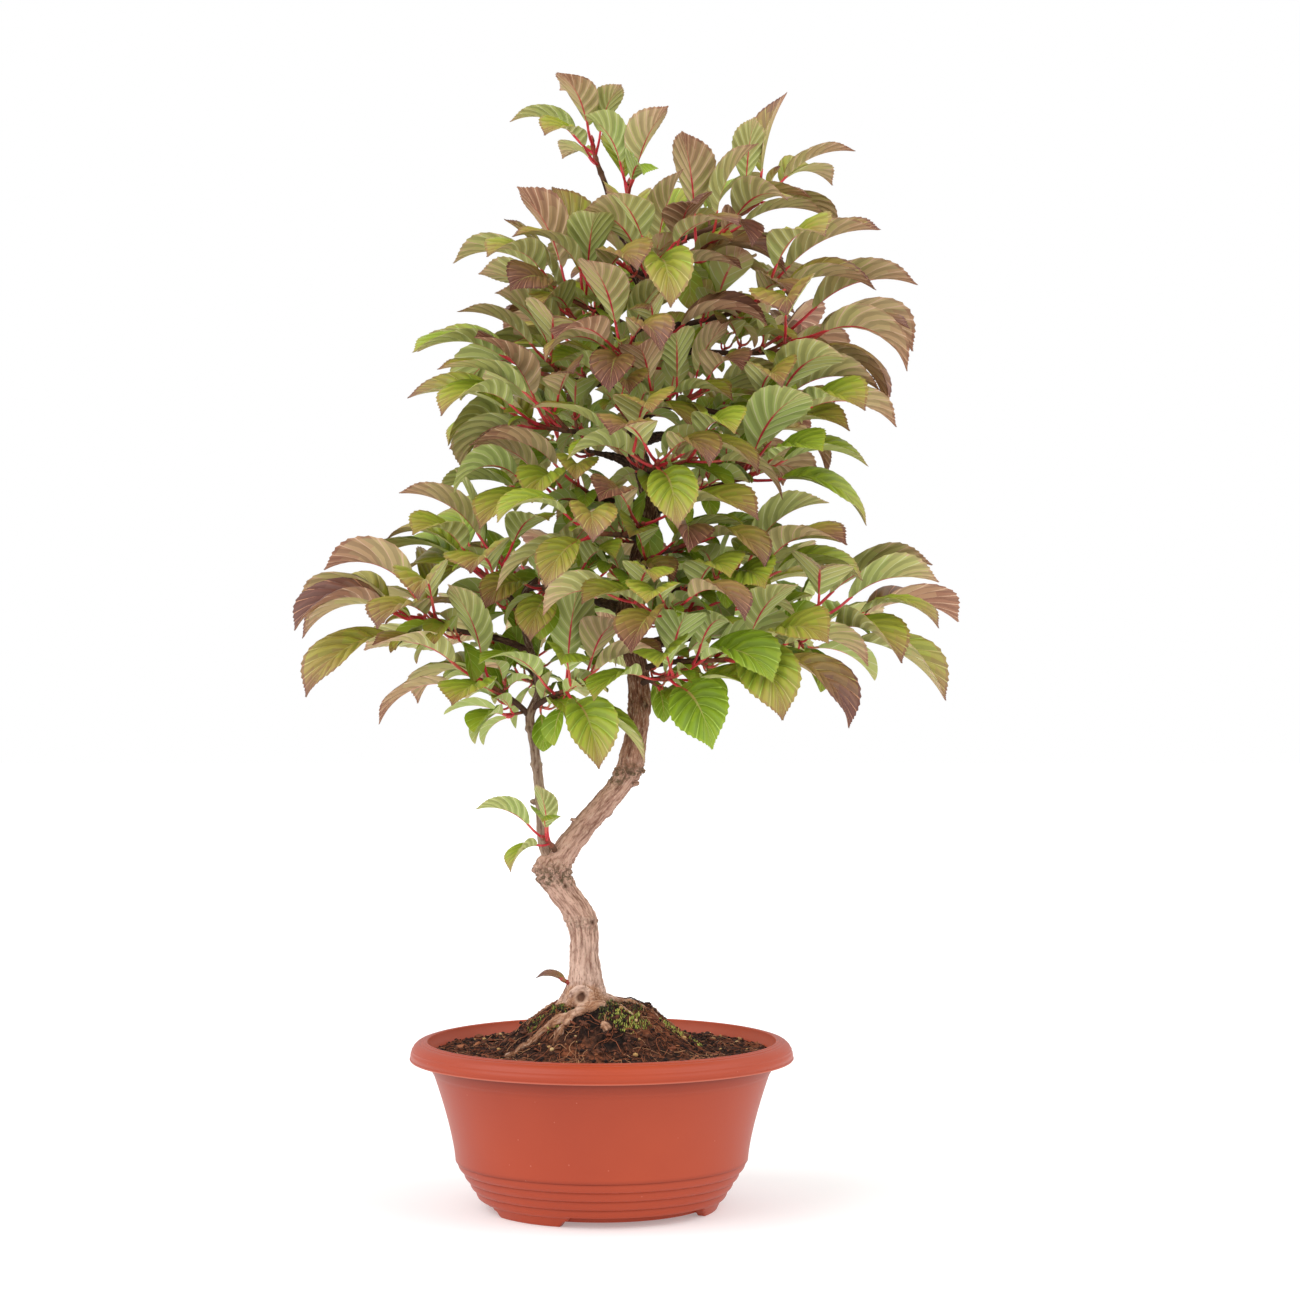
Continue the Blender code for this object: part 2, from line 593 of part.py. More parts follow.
class Clearance:
    # Everything placed so far, so that no piece is grown into another mass or a limb, and the
    # blades alone, so that those of one mass keep clear of each other
    def __init__(self):
        self.solids = []
        self.blades = []

    @staticmethod
    def measure(verts, faces):
        low = Vector([min(v[axis] for v in verts) for axis in range(3)])
        high = Vector([max(v[axis] for v in verts) for axis in range(3)])
        return low, high, BVHTree.FromPolygons(verts, faces)

    @staticmethod
    def overlaps(first, second):
        low, high, tree = first
        other_low, other_high, other_tree = second
        if any(low[i] > other_high[i] or high[i] < other_low[i] for i in range(3)):
            return False
        return bool(tree.overlap(other_tree))

    def add(self, owner, verts, faces):
        self.solids.append((owner, self.measure(verts, faces)))

    def add_blade(self, owner, verts, faces):
        self.blades.append((owner, self.measure(verts, faces)))

    def meets_others(self, owner, verts, faces):
        shape = self.measure(verts, faces)
        return any(other != owner and self.overlaps(shape, solid) for other, solid in self.solids)

    def meets_own_blades(self, owner, verts, faces):
        shape = self.measure(verts, faces)
        return any(other == owner and self.overlaps(shape, blade) for other, blade in self.blades)


def mesh_from(name, verts, faces):
    mesh = bpy.data.meshes.new(name)
    mesh.from_pydata([v * MM for v in verts], [], faces)
    edit = bmesh.new()
    edit.from_mesh(mesh)
    bmesh.ops.triangulate(edit, faces=edit.faces)
    bmesh.ops.recalc_face_normals(edit, faces=edit.faces)
    edit.to_mesh(mesh)
    edit.free()
    return mesh


class Shoot:
    # One mass of foliage: its stem, its side twigs and the leaves set on them
    def __init__(self, row, paths):
        (self.name, self.carrier, start, tip, turn, reach, self.bough_share,
         self.pairs, self.side_count, self.leaf) = row
        source = random.Random(self.name)
        out = math.radians(turn)
        self.tip = Vector((CROWN_AXIS + reach * math.cos(out), reach * math.sin(out), tip))
        self.start = point_at(paths[self.carrier], start)
        run = self.tip - self.start
        way = math.degrees(math.atan2(run.y, run.x))
        rise = math.degrees(math.atan2(run.z, math.hypot(run.x, run.y)))
        self.leave = heading(way + source.uniform(-SHOOT_SWAY, SHOOT_SWAY), rise + SHOOT_SWAY)
        # A shoot's end levels out, but the higher it stands in the crown the more it turns up
        lift = UPPER_LIFT * max(0.0, (tip - CROWN_MIDDLE) / (CROWN_TOP - CROWN_MIDDLE))
        self.arrive = heading(way + source.uniform(-SHOOT_SWAY, SHOOT_SWAY),
                              min(STEEPEST_TIP, max(rise * 0.6 + 8.0, rise - 10.0) + lift))
        self.twigs = []
        self.leaves = []

    def point(self, share):
        return bezier(self.start, self.tip, self.leave, self.arrive, share)

    def stem_run(self):
        start = self.bough_share + (GAP / (self.tip - self.start).length if self.bough_share else 0.0)
        shares = [step / TWIG_RINGS for step in range(TWIG_RINGS + 1)]
        points = [self.point(start + (1.0 - start) * share) for share in shares]
        radii = [TWIG_RADIUS + (TWIG_TIP_RADIUS - TWIG_RADIUS) * share for share in shares]
        return points, radii


def along_run(points, setback):
    # The place and direction at a distance back from the end of a run of points
    left = setback
    for end, start in zip(reversed(points), reversed(points[:-1])):
        piece = (end - start).length
        if left <= piece:
            return end.lerp(start, left / piece), (end - start).normalized()
        left -= piece
    return points[0].copy(), (points[1] - points[0]).normalized()


def grow_side_twigs(shoot, clearance):
    points, radii = shoot.stem_run()
    for number in range(shoot.side_count):
        source = random.Random(f"{shoot.name} twig {number}")
        total = sum((b - a).length for a, b in zip(points, points[1:]))
        root, direction = along_run(points, total * (1.0 - SIDE_TWIG_STARTS[number]))
        sideways = direction.cross(UP).normalized() * (1.0 if number % 2 else -1.0)
        away = direction * SIDE_TWIG_FORWARD + sideways + UP * source.uniform(*SIDE_TWIG_RISES)
        away = away.normalized() * source.uniform(*SIDE_TWIG_LENGTHS)
        run = [root + away * share + UP * (SIDE_TWIG_CURVE * share ** 2) for share in (0.0, 0.5, 1.0)]
        solid = tube_solid(run, [TWIG_RADIUS * 0.85, TWIG_TIP_RADIUS, TWIG_TIP_RADIUS * 0.9])
        if not clearance.meets_others(shoot.name, *solid):
            shoot.twigs.append((run, solid))
            clearance.add(shoot.name, *solid)


def leaf_sites(shoot):
    # Every place where the shoot may carry a leaf: tier from the tip, root, axis and the leaf's turn
    runs = [("stem", shoot.stem_run()[0], NODE_SETBACKS[:shoot.pairs], NODE_OPENINGS)]
    for number, (run, _) in enumerate(shoot.twigs):
        runs.append((f"twig {number}", run, SIDE_NODE_SETBACKS, SIDE_NODE_OPENINGS))
    for label, run, setbacks, openings in runs:
        scale = shoot.leaf / COMMON_LEAF if shoot.leaf < SMALL_LEAF else 1.0
        for tier, (setback, opening) in enumerate(zip(setbacks, openings)):
            root, axis = along_run(run, setback * scale)
            for side in (0, 1):
                yield tier, label, root, axis, opening, 90.0 * tier + 180.0 * side


def grow_leaf(shoot, site, clearance):
    tier, label, root, axis, opening, turn = site
    draw = leaf_draws(shoot.name + label, tier, turn)
    level = axis.cross(UP)
    level = level.normalized() if level.length > 0.05 else Vector((1.0, 0.0, 0.0))
    over = level.cross(axis)
    start_turn = between(LEAF_TURNS, draw["turn"])
    opening = math.radians(opening + between(LEAF_OPENINGS, draw["open"]))
    length = shoot.leaf * between(LEAF_SIZES, draw["size"])
    for extra in LEAF_TRIES:
        angle = math.radians(turn + start_turn + extra)
        around = level * math.cos(angle) + over * math.sin(angle)
        along = axis * math.cos(opening) + around * math.sin(opening)
        outward = Vector((root.x - CROWN_AXIS, root.y, 0.0))
        if outward.length > 1.0:
            along += outward.normalized() * OUTWARD_PULL
        # Blades turn towards the level, less so on a shoot that stands upright
        along.z = along.z * (0.7 + 0.4 * max(0.0, axis.z)) + 0.06
        along.normalize()
        seat = root + around * ROOT_OFFSET
        wide = leaf_solid(seat, along, length, draw, LEAF_CLEARANCE)
        if clearance.meets_others(shoot.name, *wide):
            continue
        blade_verts = wide[0][3:]
        blade_faces = [tuple(i - 3 for i in face) for face in wide[1] if min(face) >= 3]
        if clearance.meets_own_blades(shoot.name, blade_verts, blade_faces):
            continue
        solid = leaf_solid(seat, along, length, draw, 0.0)
        clearance.add(shoot.name, *solid)
        clearance.add_blade(shoot.name, blade_verts, blade_faces)
        shoot.leaves.append(solid)
        return


def largest_body(mesh):
    # Keeps the outermost closed surface, so that a hollow sealed by the union and loose scraps are
    # dropped, and merges the flat slivers that the union leaves
    edit = bmesh.new()
    edit.from_mesh(mesh)
    left = set(edit.faces)
    bodies = []
    while left:
        group = set()
        queue = [left.pop()]
        while queue:
            face = queue.pop()
            group.add(face)
            for edge in face.edges:
                for neighbour in edge.link_faces:
                    if neighbour in left:
                        left.discard(neighbour)
                        queue.append(neighbour)
        bodies.append(group)
    if len(bodies) > 1:
        bodies.sort(key=lambda group: sum(face.calc_area() for face in group))
        spare = [face for group in bodies[:-1] for face in group]
        bmesh.ops.delete(edit, geom=spare, context="FACES")
    bmesh.ops.dissolve_limit(edit, angle_limit=math.radians(FLAT_ANGLE), verts=edit.verts, edges=edit.edges)
    bmesh.ops.triangulate(edit, faces=edit.faces)
    edit.to_mesh(mesh)
    edit.free()


def fuse_mass(shoot, parts, seats):
    points, radii = shoot.stem_run()
    mass = add_object("foliage_" + shoot.name, mesh_from(shoot.name, *tube_solid(points, radii)), parts)
    pieces = new_collection("pieces of " + shoot.name)
    for number, solid in enumerate([solid for _, solid in shoot.twigs] + shoot.leaves):
        add_object(f"piece_{number}", mesh_from(f"piece_{number}", *solid), pieces)
    add_boolean(mass, "UNION", pieces, solver="MANIFOLD")
    if not shoot.bough_share:
        add_boolean(mass, "DIFFERENCE", seats[shoot.carrier])
    apply_modifiers(mass)
    largest_body(mass.data)
    remove_collection(pieces)
    return mass


def make_bough(shoot, parts, seats):
    shares = [step / BOUGH_RINGS for step in range(BOUGH_RINGS + 1)]
    points = [shoot.point(shoot.bough_share * share) for share in shares]
    carrier_radius = trunk_radius if shoot.carrier == "trunk" else stem_radius
    first = min(BOUGH_RADIUS, BOUGH_TO_CARRIER * carrier_radius(shoot.start.z))
    radii = [first + (BOUGH_TIP_RADIUS - first) * share for share in shares]
    bough = limb("bough_" + shoot.name, points, radii, BOUGH_SIDES, parts)
    add_boolean(bough, "DIFFERENCE", seats[shoot.carrier])
    return bough


def mesh_lists(item):
    mesh = evaluated_mesh(item)
    verts = [item.matrix_world @ v.co / MM for v in mesh.vertices]
    faces = [tuple(p.vertices) for p in mesh.polygons]
    bpy.data.meshes.remove(mesh)
    return verts, faces


def make_crown(parts, paths, seats, limbs):
    shoots = [Shoot(row, paths) for row in SHOOTS]
    clearance = Clearance()
    for item in limbs:
        clearance.add(item.name, *mesh_lists(item))
    boughs = []
    for shoot in shoots:
        if shoot.bough_share:
            bough = make_bough(shoot, parts, seats)
            boughs.append(bough)
            clearance.add(bough.name, *mesh_lists(bough))
        clearance.add(shoot.name, *tube_solid(*shoot.stem_run()))
    for shoot in shoots:
        grow_side_twigs(shoot, clearance)
    sites = [(site, shoot) for shoot in shoots for site in leaf_sites(shoot)]
    sites.sort(key=lambda pair: pair[0][0])
    for site, shoot in sites:
        grow_leaf(shoot, site, clearance)
    masses = [fuse_mass(shoot, parts, seats) for shoot in shoots]
    return boughs, masses


def main():
    clear_scene()
    parts = new_collection("potted viburnum")
    cutters = new_collection("cutters")
    clay = principled("clay plastic", (205, 100, 76), 0.42)
    earth = principled("potting soil", (102, 66, 52), 0.95)
    bark = principled("bark", (178, 138, 118), 0.85)
    twig_bark = principled("twig bark", (96, 70, 56), 0.8)
    leaf = principled("leaf", (128, 140, 62), 0.55)

    pot = make_pot(parts, cutters)
    finish(pot, clay)
    soil = make_soil(parts, cutters)
    finish(soil, earth)
    trunk, trunk_path, trunk_seat = make_trunk(parts, cutters)
    finish(trunk, bark)
    stem, stem_path, stem_seat = make_stem(parts, cutters, trunk_seat)
    finish(stem, bark)
    paths = {"trunk": trunk_path, "left_stem": stem_path}
    seats = {"trunk": trunk_seat, "left_stem": stem_seat}
    boughs, masses = make_crown(parts, paths, seats, (soil, trunk, stem))
    for bough in boughs:
        finish(bough, twig_bark)
    for mass in masses:
        finish(mass, leaf)


main()
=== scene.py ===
# Dresses a viburnum grown as a small bonsai, in its round clay-coloured training bowl
import math
import random

import bmesh
import bpy
import numpy as np
from mathutils import Matrix, Vector, kdtree, noise
from mathutils.bvhtree import BVHTree


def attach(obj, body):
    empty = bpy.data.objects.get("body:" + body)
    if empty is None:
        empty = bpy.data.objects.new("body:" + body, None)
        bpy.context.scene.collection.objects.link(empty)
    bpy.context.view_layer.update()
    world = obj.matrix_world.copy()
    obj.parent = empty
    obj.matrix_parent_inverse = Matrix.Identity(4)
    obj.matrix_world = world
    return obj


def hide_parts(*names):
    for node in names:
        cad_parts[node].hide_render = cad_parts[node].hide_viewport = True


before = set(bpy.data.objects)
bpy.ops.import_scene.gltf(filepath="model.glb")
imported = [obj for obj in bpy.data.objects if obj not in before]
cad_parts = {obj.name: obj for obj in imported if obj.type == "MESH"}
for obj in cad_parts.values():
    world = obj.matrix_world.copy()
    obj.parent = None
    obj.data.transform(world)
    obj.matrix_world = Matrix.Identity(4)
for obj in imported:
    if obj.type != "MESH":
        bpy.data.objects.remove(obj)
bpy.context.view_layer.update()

mm = 0.001                      # the plant is worked out in millimetres
up = Vector((0.0, 0.0, 1.0))
scene = bpy.context.scene
noise.seed_set(1)               # the roots' wander, which the clock would seed otherwise


# Small helpers

def linear(red, green, blue):
    # From the 0 to 255 steps of a tint to the linear colour that the shaders take
    channels = []
    for value in (red, green, blue):
        share = value / 255.0
        channels.append(share / 12.92 if share <= 0.04045 else ((share + 0.055) / 1.055) ** 2.4)
    return (*channels, 1.0)


def blendTint(stops, share):
    # A colour between named tints, share running from 0 to 1 along the list
    place = max(0.0, min(0.9999, share)) * (len(stops) - 1)
    low = int(place)
    return tuple(a + (b - a) * (place - low) for a, b in zip(stops[low], stops[low + 1]))


def between(limits, share):
    return limits[0] + (limits[1] - limits[0]) * share


def valueAt(pairs, height):
    # A value read off a list of (height, value) pairs that rises in height
    if height <= pairs[0][0]:
        return pairs[0][1]
    for (low, first), (high, second) in zip(pairs, pairs[1:]):
        if height <= high:
            return first + (second - first) * (height - low) / (high - low)
    return pairs[-1][1]


def triangles(mesh):
    return sum(len(polygon.vertices) - 2 for polygon in mesh.polygons)


def addPiece(name, mesh, replaced=()):
    piece = bpy.data.objects.new(name, mesh)
    scene.collection.objects.link(piece)
    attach(piece, "root")
    if replaced:
        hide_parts(*replaced)


def meshFrom(bm, name, smooth=True):
    mesh = bpy.data.meshes.new(name)
    bm.to_mesh(mesh)
    bm.free()
    mesh.polygons.foreach_set("use_smooth", [smooth] * len(mesh.polygons))
    return mesh


def joinMeshes(name, meshes):
    # One mesh from many, by joining their objects
    items = []
    for mesh in meshes:
        item = bpy.data.objects.new(name, mesh)
        scene.collection.objects.link(item)
        items.append(item)
    with bpy.context.temp_override(active_object=items[0], object=items[0], selected_objects=items,
                                   selected_editable_objects=items):
        bpy.ops.object.join()
    joined = items[0].data
    bpy.data.objects.remove(items[0], do_unlink=True)
    joined.name = name
    return joined


# Camera, floor and light

studio = {
    "eye": (0.0252, -1.55, 0.291),
    "lens": 81.97, "sensor": 36.0,
    "world": 0.8,
    # Two broad soft lights, one on each side: where each comes from and its strength
    "lights": (((-1.0, -0.55, 1.0), 1.6), ((1.0, -0.35, 0.9), 1.1)),
    "spread": 60.0,
    # The floor is white paper that glows a little, like a light table, just below the bowl's feet
    "floorSize": 6.0, "floorDrop": 0.0002, "paper": 0.78, "paperGlow": 0.27,
    "white": (1.0, 1.0, 1.0, 1.0),
}


def setStudio():
    lens = bpy.data.cameras.new("camera")
    lens.lens = studio["lens"]
    lens.sensor_width = studio["sensor"]
    camera = bpy.data.objects.new("camera", lens)
    camera.location = studio["eye"]
    camera.rotation_euler = (math.radians(90.0), 0.0, 0.0)
    scene.collection.objects.link(camera)
    bpy.context.scene.camera = camera
    scene.view_settings.view_transform = "Standard"

    world = bpy.data.worlds.new("studio")
    world.use_nodes = True
    tree = world.node_tree
    room = tree.nodes["Background"]
    room.inputs["Color"].default_value = studio["white"]
    room.inputs["Strength"].default_value = studio["world"]
    # Behind the plant the room stays pure white, though less than that falls on it
    behind = tree.nodes.new("ShaderNodeBackground")
    behind.inputs["Color"].default_value = studio["white"]
    mix = tree.nodes.new("ShaderNodeMixShader")
    tree.links.new(tree.nodes.new("ShaderNodeLightPath").outputs["Is Camera Ray"], mix.inputs["Fac"])
    tree.links.new(room.outputs["Background"], mix.inputs[1])
    tree.links.new(behind.outputs["Background"], mix.inputs[2])
    tree.links.new(mix.outputs["Shader"], tree.nodes["World Output"].inputs["Surface"])
    scene.world = world

    for place, power in studio["lights"]:
        light = bpy.data.lights.new("softLight", "SUN")
        light.energy = power
        light.angle = math.radians(studio["spread"])
        lamp = bpy.data.objects.new("softLight", light)
        lamp.location = place
        lamp.rotation_euler = Vector(place).to_track_quat("Z", "Y").to_euler()
        scene.collection.objects.link(lamp)

    bm = bmesh.new()
    bmesh.ops.create_grid(bm, x_segments=1, y_segments=1, size=studio["floorSize"])
    bmesh.ops.translate(bm, verts=bm.verts, vec=(0.0, 0.0, -studio["floorDrop"]))
    floor = bpy.data.objects.new("floor", meshFrom(bm, "floor", False))
    scene.collection.objects.link(floor)
    paper = bpy.data.materials.new("floorPaper")
    paper.use_nodes = True
    shader = paper.node_tree.nodes["Principled BSDF"]
    shader.inputs["Base Color"].default_value = (*[studio["paper"]] * 3, 1.0)
    shader.inputs["Emission Color"].default_value = studio["white"]
    shader.inputs["Emission Strength"].default_value = studio["paperGlow"]
    shader.inputs["Roughness"].default_value = 1.0
    shader.inputs["Specular IOR Level"].default_value = 0.0
    floor.data.materials.append(paper)


setStudio()
print("studio set")


# Shader groups that more than one finish uses

def newGroup(name, inputs, outputs):
    group = bpy.data.node_groups.new(name, "ShaderNodeTree")
    for title, kind, value in inputs:
        socket = group.interface.new_socket(name=title, in_out="INPUT", socket_type=kind)
        if value is not None:
            socket.default_value = value
    for title, kind in outputs:
        group.interface.new_socket(name=title, in_out="OUTPUT", socket_type=kind)
    start = group.nodes.new("NodeGroupInput")
    end = group.nodes.new("NodeGroupOutput")
    return group, start, end


def addNode(tree, kind, links=(), **settings):
    # One node: settings that match a socket set it, the others set the node's own properties
    made = tree.nodes.new(kind)
    for title, value in settings.items():
        socket = made.inputs.get(title.replace("_", " "))
        if socket is not None:
            socket.default_value = value
        else:
            setattr(made, title, value)
    for title, source in links:
        tree.links.new(source, made.inputs[title])
    return made


def noiseNode(tree, vector, scale, detail, roughness=0.5):
    made = addNode(tree, "ShaderNodeTexNoise", [("Vector", vector)], Scale=scale, Detail=detail,
                   Roughness=roughness)
    return made.outputs["Fac"]


def rangeNode(tree, value, low, high, first=0.0, last=1.0):
    # A value between low and high, laid out from first to last
    made = addNode(tree, "ShaderNodeMapRange", [("Value", value)], From_Min=low, From_Max=high, To_Min=first,
                   To_Max=last)
    return made.outputs["Result"]


def makeStreaks():
    # Fibres that run along a limb: a wide and a fine noise, both drawn out along Z
    group, start, end = newGroup(
        "fibreStreaks",
        [("Vector", "NodeSocketVector", None), ("Scale", "NodeSocketFloat", 1.0),
         ("Stretch", "NodeSocketFloat", 0.12)],
        [("Wide", "NodeSocketFloat"), ("Fine", "NodeSocketFloat")])
    links = group.links
    stretch = addNode(group, "ShaderNodeCombineXYZ", [("Z", start.outputs["Stretch"])], X=1.0, Y=1.0)
    drawn = addNode(group, "ShaderNodeVectorMath", [(0, start.outputs["Vector"]), (1, stretch.outputs[0])],
                    operation="MULTIPLY")
    scaled = addNode(group, "ShaderNodeVectorMath", [(0, drawn.outputs[0])], operation="SCALE")
    links.new(start.outputs["Scale"], scaled.inputs["Scale"])
    links.new(noiseNode(group, scaled.outputs[0], 0.45, 4.0, 0.6), end.inputs["Wide"])
    links.new(noiseNode(group, scaled.outputs[0], 2.2, 3.0, 0.65), end.inputs["Fine"])
    return group


def makeGrain():
    # Grain of a moulded or crumbly surface, and sparse specks in it
    group, start, end = newGroup(
        "surfaceGrain",
        [("Vector", "NodeSocketVector", None), ("Scale", "NodeSocketFloat", 100.0),
         ("Speck Size", "NodeSocketFloat", 300.0)],
        [("Grain", "NodeSocketFloat"), ("Specks", "NodeSocketFloat")])
    grain = addNode(group, "ShaderNodeTexNoise", [("Vector", start.outputs["Vector"])], Detail=5.0,
                    Roughness=0.6)
    group.links.new(start.outputs["Scale"], grain.inputs["Scale"])
    cells = addNode(group, "ShaderNodeTexVoronoi", [("Vector", start.outputs["Vector"])])
    group.links.new(start.outputs["Speck Size"], cells.inputs["Scale"])
    specks = rangeNode(group, cells.outputs["Distance"], 0.05, 0.16, 1.0, 0.0)
    group.links.new(grain.outputs["Fac"], end.inputs["Grain"])
    group.links.new(specks, end.inputs["Specks"])
    return group


streaks = makeStreaks()
grain = makeGrain()


def newMaterial(name, roughness, specular):
    material = bpy.data.materials.new(name)
    material.use_nodes = True
    shader = material.node_tree.nodes["Principled BSDF"]
    shader.inputs["Roughness"].default_value = roughness
    shader.inputs["Specular IOR Level"].default_value = specular
    return material, material.node_tree, shader


def plainTint(name, tint, roughness, specular):
    material, _, shader = newMaterial(name, roughness, specular)
    shader.inputs["Base Color"].default_value = linear(*tint)
    material.diffuse_color = linear(*tint)
    return material


def tintSet(name, tints, roughness, specular):
    return [plainTint(f"{name}{number}", tint, roughness, specular) for number, tint in enumerate(tints)]


def placeGroup(tree, group, vector, **values):
    # One use of a shader group, with its own values
    made = tree.nodes.new("ShaderNodeGroup")
    made.node_tree = group
    tree.links.new(vector, made.inputs["Vector"])
    for title, value in values.items():
        made.inputs[title.replace("_", " ")].default_value = value
    return made


def ramp(tree, source, stops):
    # A colour ramp with the given (position, sRGB tint) stops
    made = tree.nodes.new("ShaderNodeValToRGB")
    while len(made.color_ramp.elements) < len(stops):
        made.color_ramp.elements.new(0.5)
    for element, (place, tint) in zip(made.color_ramp.elements, stops):
        element.position = place
        element.color = linear(*tint)
    tree.links.new(source, made.inputs["Fac"])
    return made.outputs["Color"]


def mixTint(tree, factor, first, second, mode="MIX"):
    made = tree.nodes.new("ShaderNodeMix")
    made.data_type = "RGBA"
    made.blend_type = mode
    if isinstance(factor, float):
        made.inputs["Factor"].default_value = factor
    else:
        tree.links.new(factor, made.inputs["Factor"])
    for socket, value in ((made.inputs[6], first), (made.inputs[7], second)):
        if isinstance(value, tuple):
            socket.default_value = linear(*value)
        else:
            tree.links.new(value, socket)
    return made.outputs[2]


def mathNode(tree, operation, first, second):
    made = tree.nodes.new("ShaderNodeMath")
    made.operation = operation
    for socket, value in zip(made.inputs, (first, second)):
        if isinstance(value, (int, float)):
            socket.default_value = value
        else:
            tree.links.new(value, socket)
    return made.outputs[0]


def bumpNode(tree, shader, height, strength, distance):
    # Relief too fine for the mesh, its depth in metres
    made = tree.nodes.new("ShaderNodeBump")
    made.inputs["Strength"].default_value = strength
    made.inputs["Distance"].default_value = distance
    tree.links.new(height, made.inputs["Height"])
    tree.links.new(made.outputs["Normal"], shader.inputs["Normal"])


# Bowl

bowl = {
    "rimRadius": 100.0, "rimInnerRadius": 92.0, "height": 87.0, "lipBottom": 77.5, "lipDepth": 2.0,
    "bodyTopRadius": 90.5, "bodyFootRadius": 76.5, "bodyFootHeight": 24.6, "bodyCurve": 1.4, "wall": 2.6,
    "steps": 4, "stepTopRadius": 75.4, "stepFootRadius": 62.8, "stepFootHeight": 4.8,
    "footRadius": 60.5, "baseRadius": 56.5, "baseHeight": 2.0, "floorHeight": 4.6,
    "floorRadius": 52.5, "floorCorner": 6.0, "flatRadius": 30.0,
    "feet": 3, "firstFoot": -39.0, "notchAngles": (79.0, 72.0), "notchHeights": (3.0, 5.5), "notchSlope": 1.6,
    "notchReach": 70.0, "turns": 256, "sharpAngle": 38.0,
    # Fine lines round the rim: where they run, in degrees over its curve, and how wide and deep they are
    "rimLines": (16.0, 58.0, 72.0), "rimLineWidth": 2.6, "rimLineDepth": 0.42,
    # Steps out and up from the opening's edge and from the lip's lower edge, as the profile runs
    "openingEdge": ((-0.9, -1.2), (-0.8, -0.1), (-0.3, 0.35), (0.4, 0.3), (0.8, -0.1)), "crest": 1.0,
    "lipEdge": ((-0.15, 1.5), (-0.1, 1.1), (0.3, 0.8), (0.4, 0.4), (0.15, 0.05), (-0.4, 0.0), (-1.1, 0.3)),
    "lipHollow": 3.4, "underLip": ((1.6, 0.6), (0.6, -0.6)),
    # A faint ledge round the body, and the steps of the profile near it and elsewhere
    "ledgeHeight": 70.5, "ledge": 0.35, "ledgeSlope": 0.25, "ledgeStep": 0.4, "bodyStep": 2.4,
    "stepGroove": 0.26, "stepAngles": (8, 20, 34, 48, 62, 76, 88),
    # Tints of the clay. The inner one is painted light on the wall over the soil
    "shade": (160, 57, 29), "light": (174, 68, 36), "edge": (226, 150, 128), "inside": (204, 88, 52),
    "roughness": (0.36, 0.50), "specular": 0.38, "grain": 900.0, "grainDepth": 0.0003, "cloud": 9.0,
    "specks": 130.0, "speckShare": 0.97, "speckMix": 0.22, "insideFrom": 78.0, "insideMix": 0.7,
    # Where the lip's lower edge is painted pale, partly as wear and partly as a painted highlight: in millimetres up,
    # and how much
    "wornHighlight": ((77.2, 0), (77.7, 150), (78.5, 0)),
    # Painted shade in the corner under the lip and in the crease above the bands: how high up, and the tint that it
    # multiplies the clay by
    "paintedShade": ((5.0, (255, 255, 255)), (24.0, (255, 255, 255)), (24.6, (226, 220, 218)), (26.5, (255, 255, 255)),
             (68.0, (255, 255, 255)), (74.0, (232, 226, 224)), (76.9, (176, 160, 156)), (77.2, (255, 255, 255))),
}


def bodyRadius(height):
    share = (height - bowl["bodyFootHeight"]) / (bowl["lipBottom"] - bowl["bodyFootHeight"])
    share = max(0.0, share)
    return bowl["bodyFootRadius"] + (bowl["bodyTopRadius"] - bowl["bodyFootRadius"]) * share ** bowl["bodyCurve"]


def innerWall():
    # The inside of the bowl from its floor to below the rim
    wall = [(bowl["floorRadius"], bowl["floorHeight"]),
            (bowl["footRadius"], bowl["floorHeight"] + bowl["floorCorner"]),
            (bowl["bodyFootRadius"] - bowl["wall"], bowl["bodyFootHeight"] + 1.0)]
    for share in (0.2, 0.4, 0.6, 0.75, 0.88):
        height = bowl["bodyFootHeight"] + share * (bowl["lipBottom"] - bowl["bodyFootHeight"])
        wall.append((bodyRadius(height) - bowl["wall"], height))
    wall.append((bowl["rimInnerRadius"] - 1.6, bowl["height"] - 4.0))
    return wall


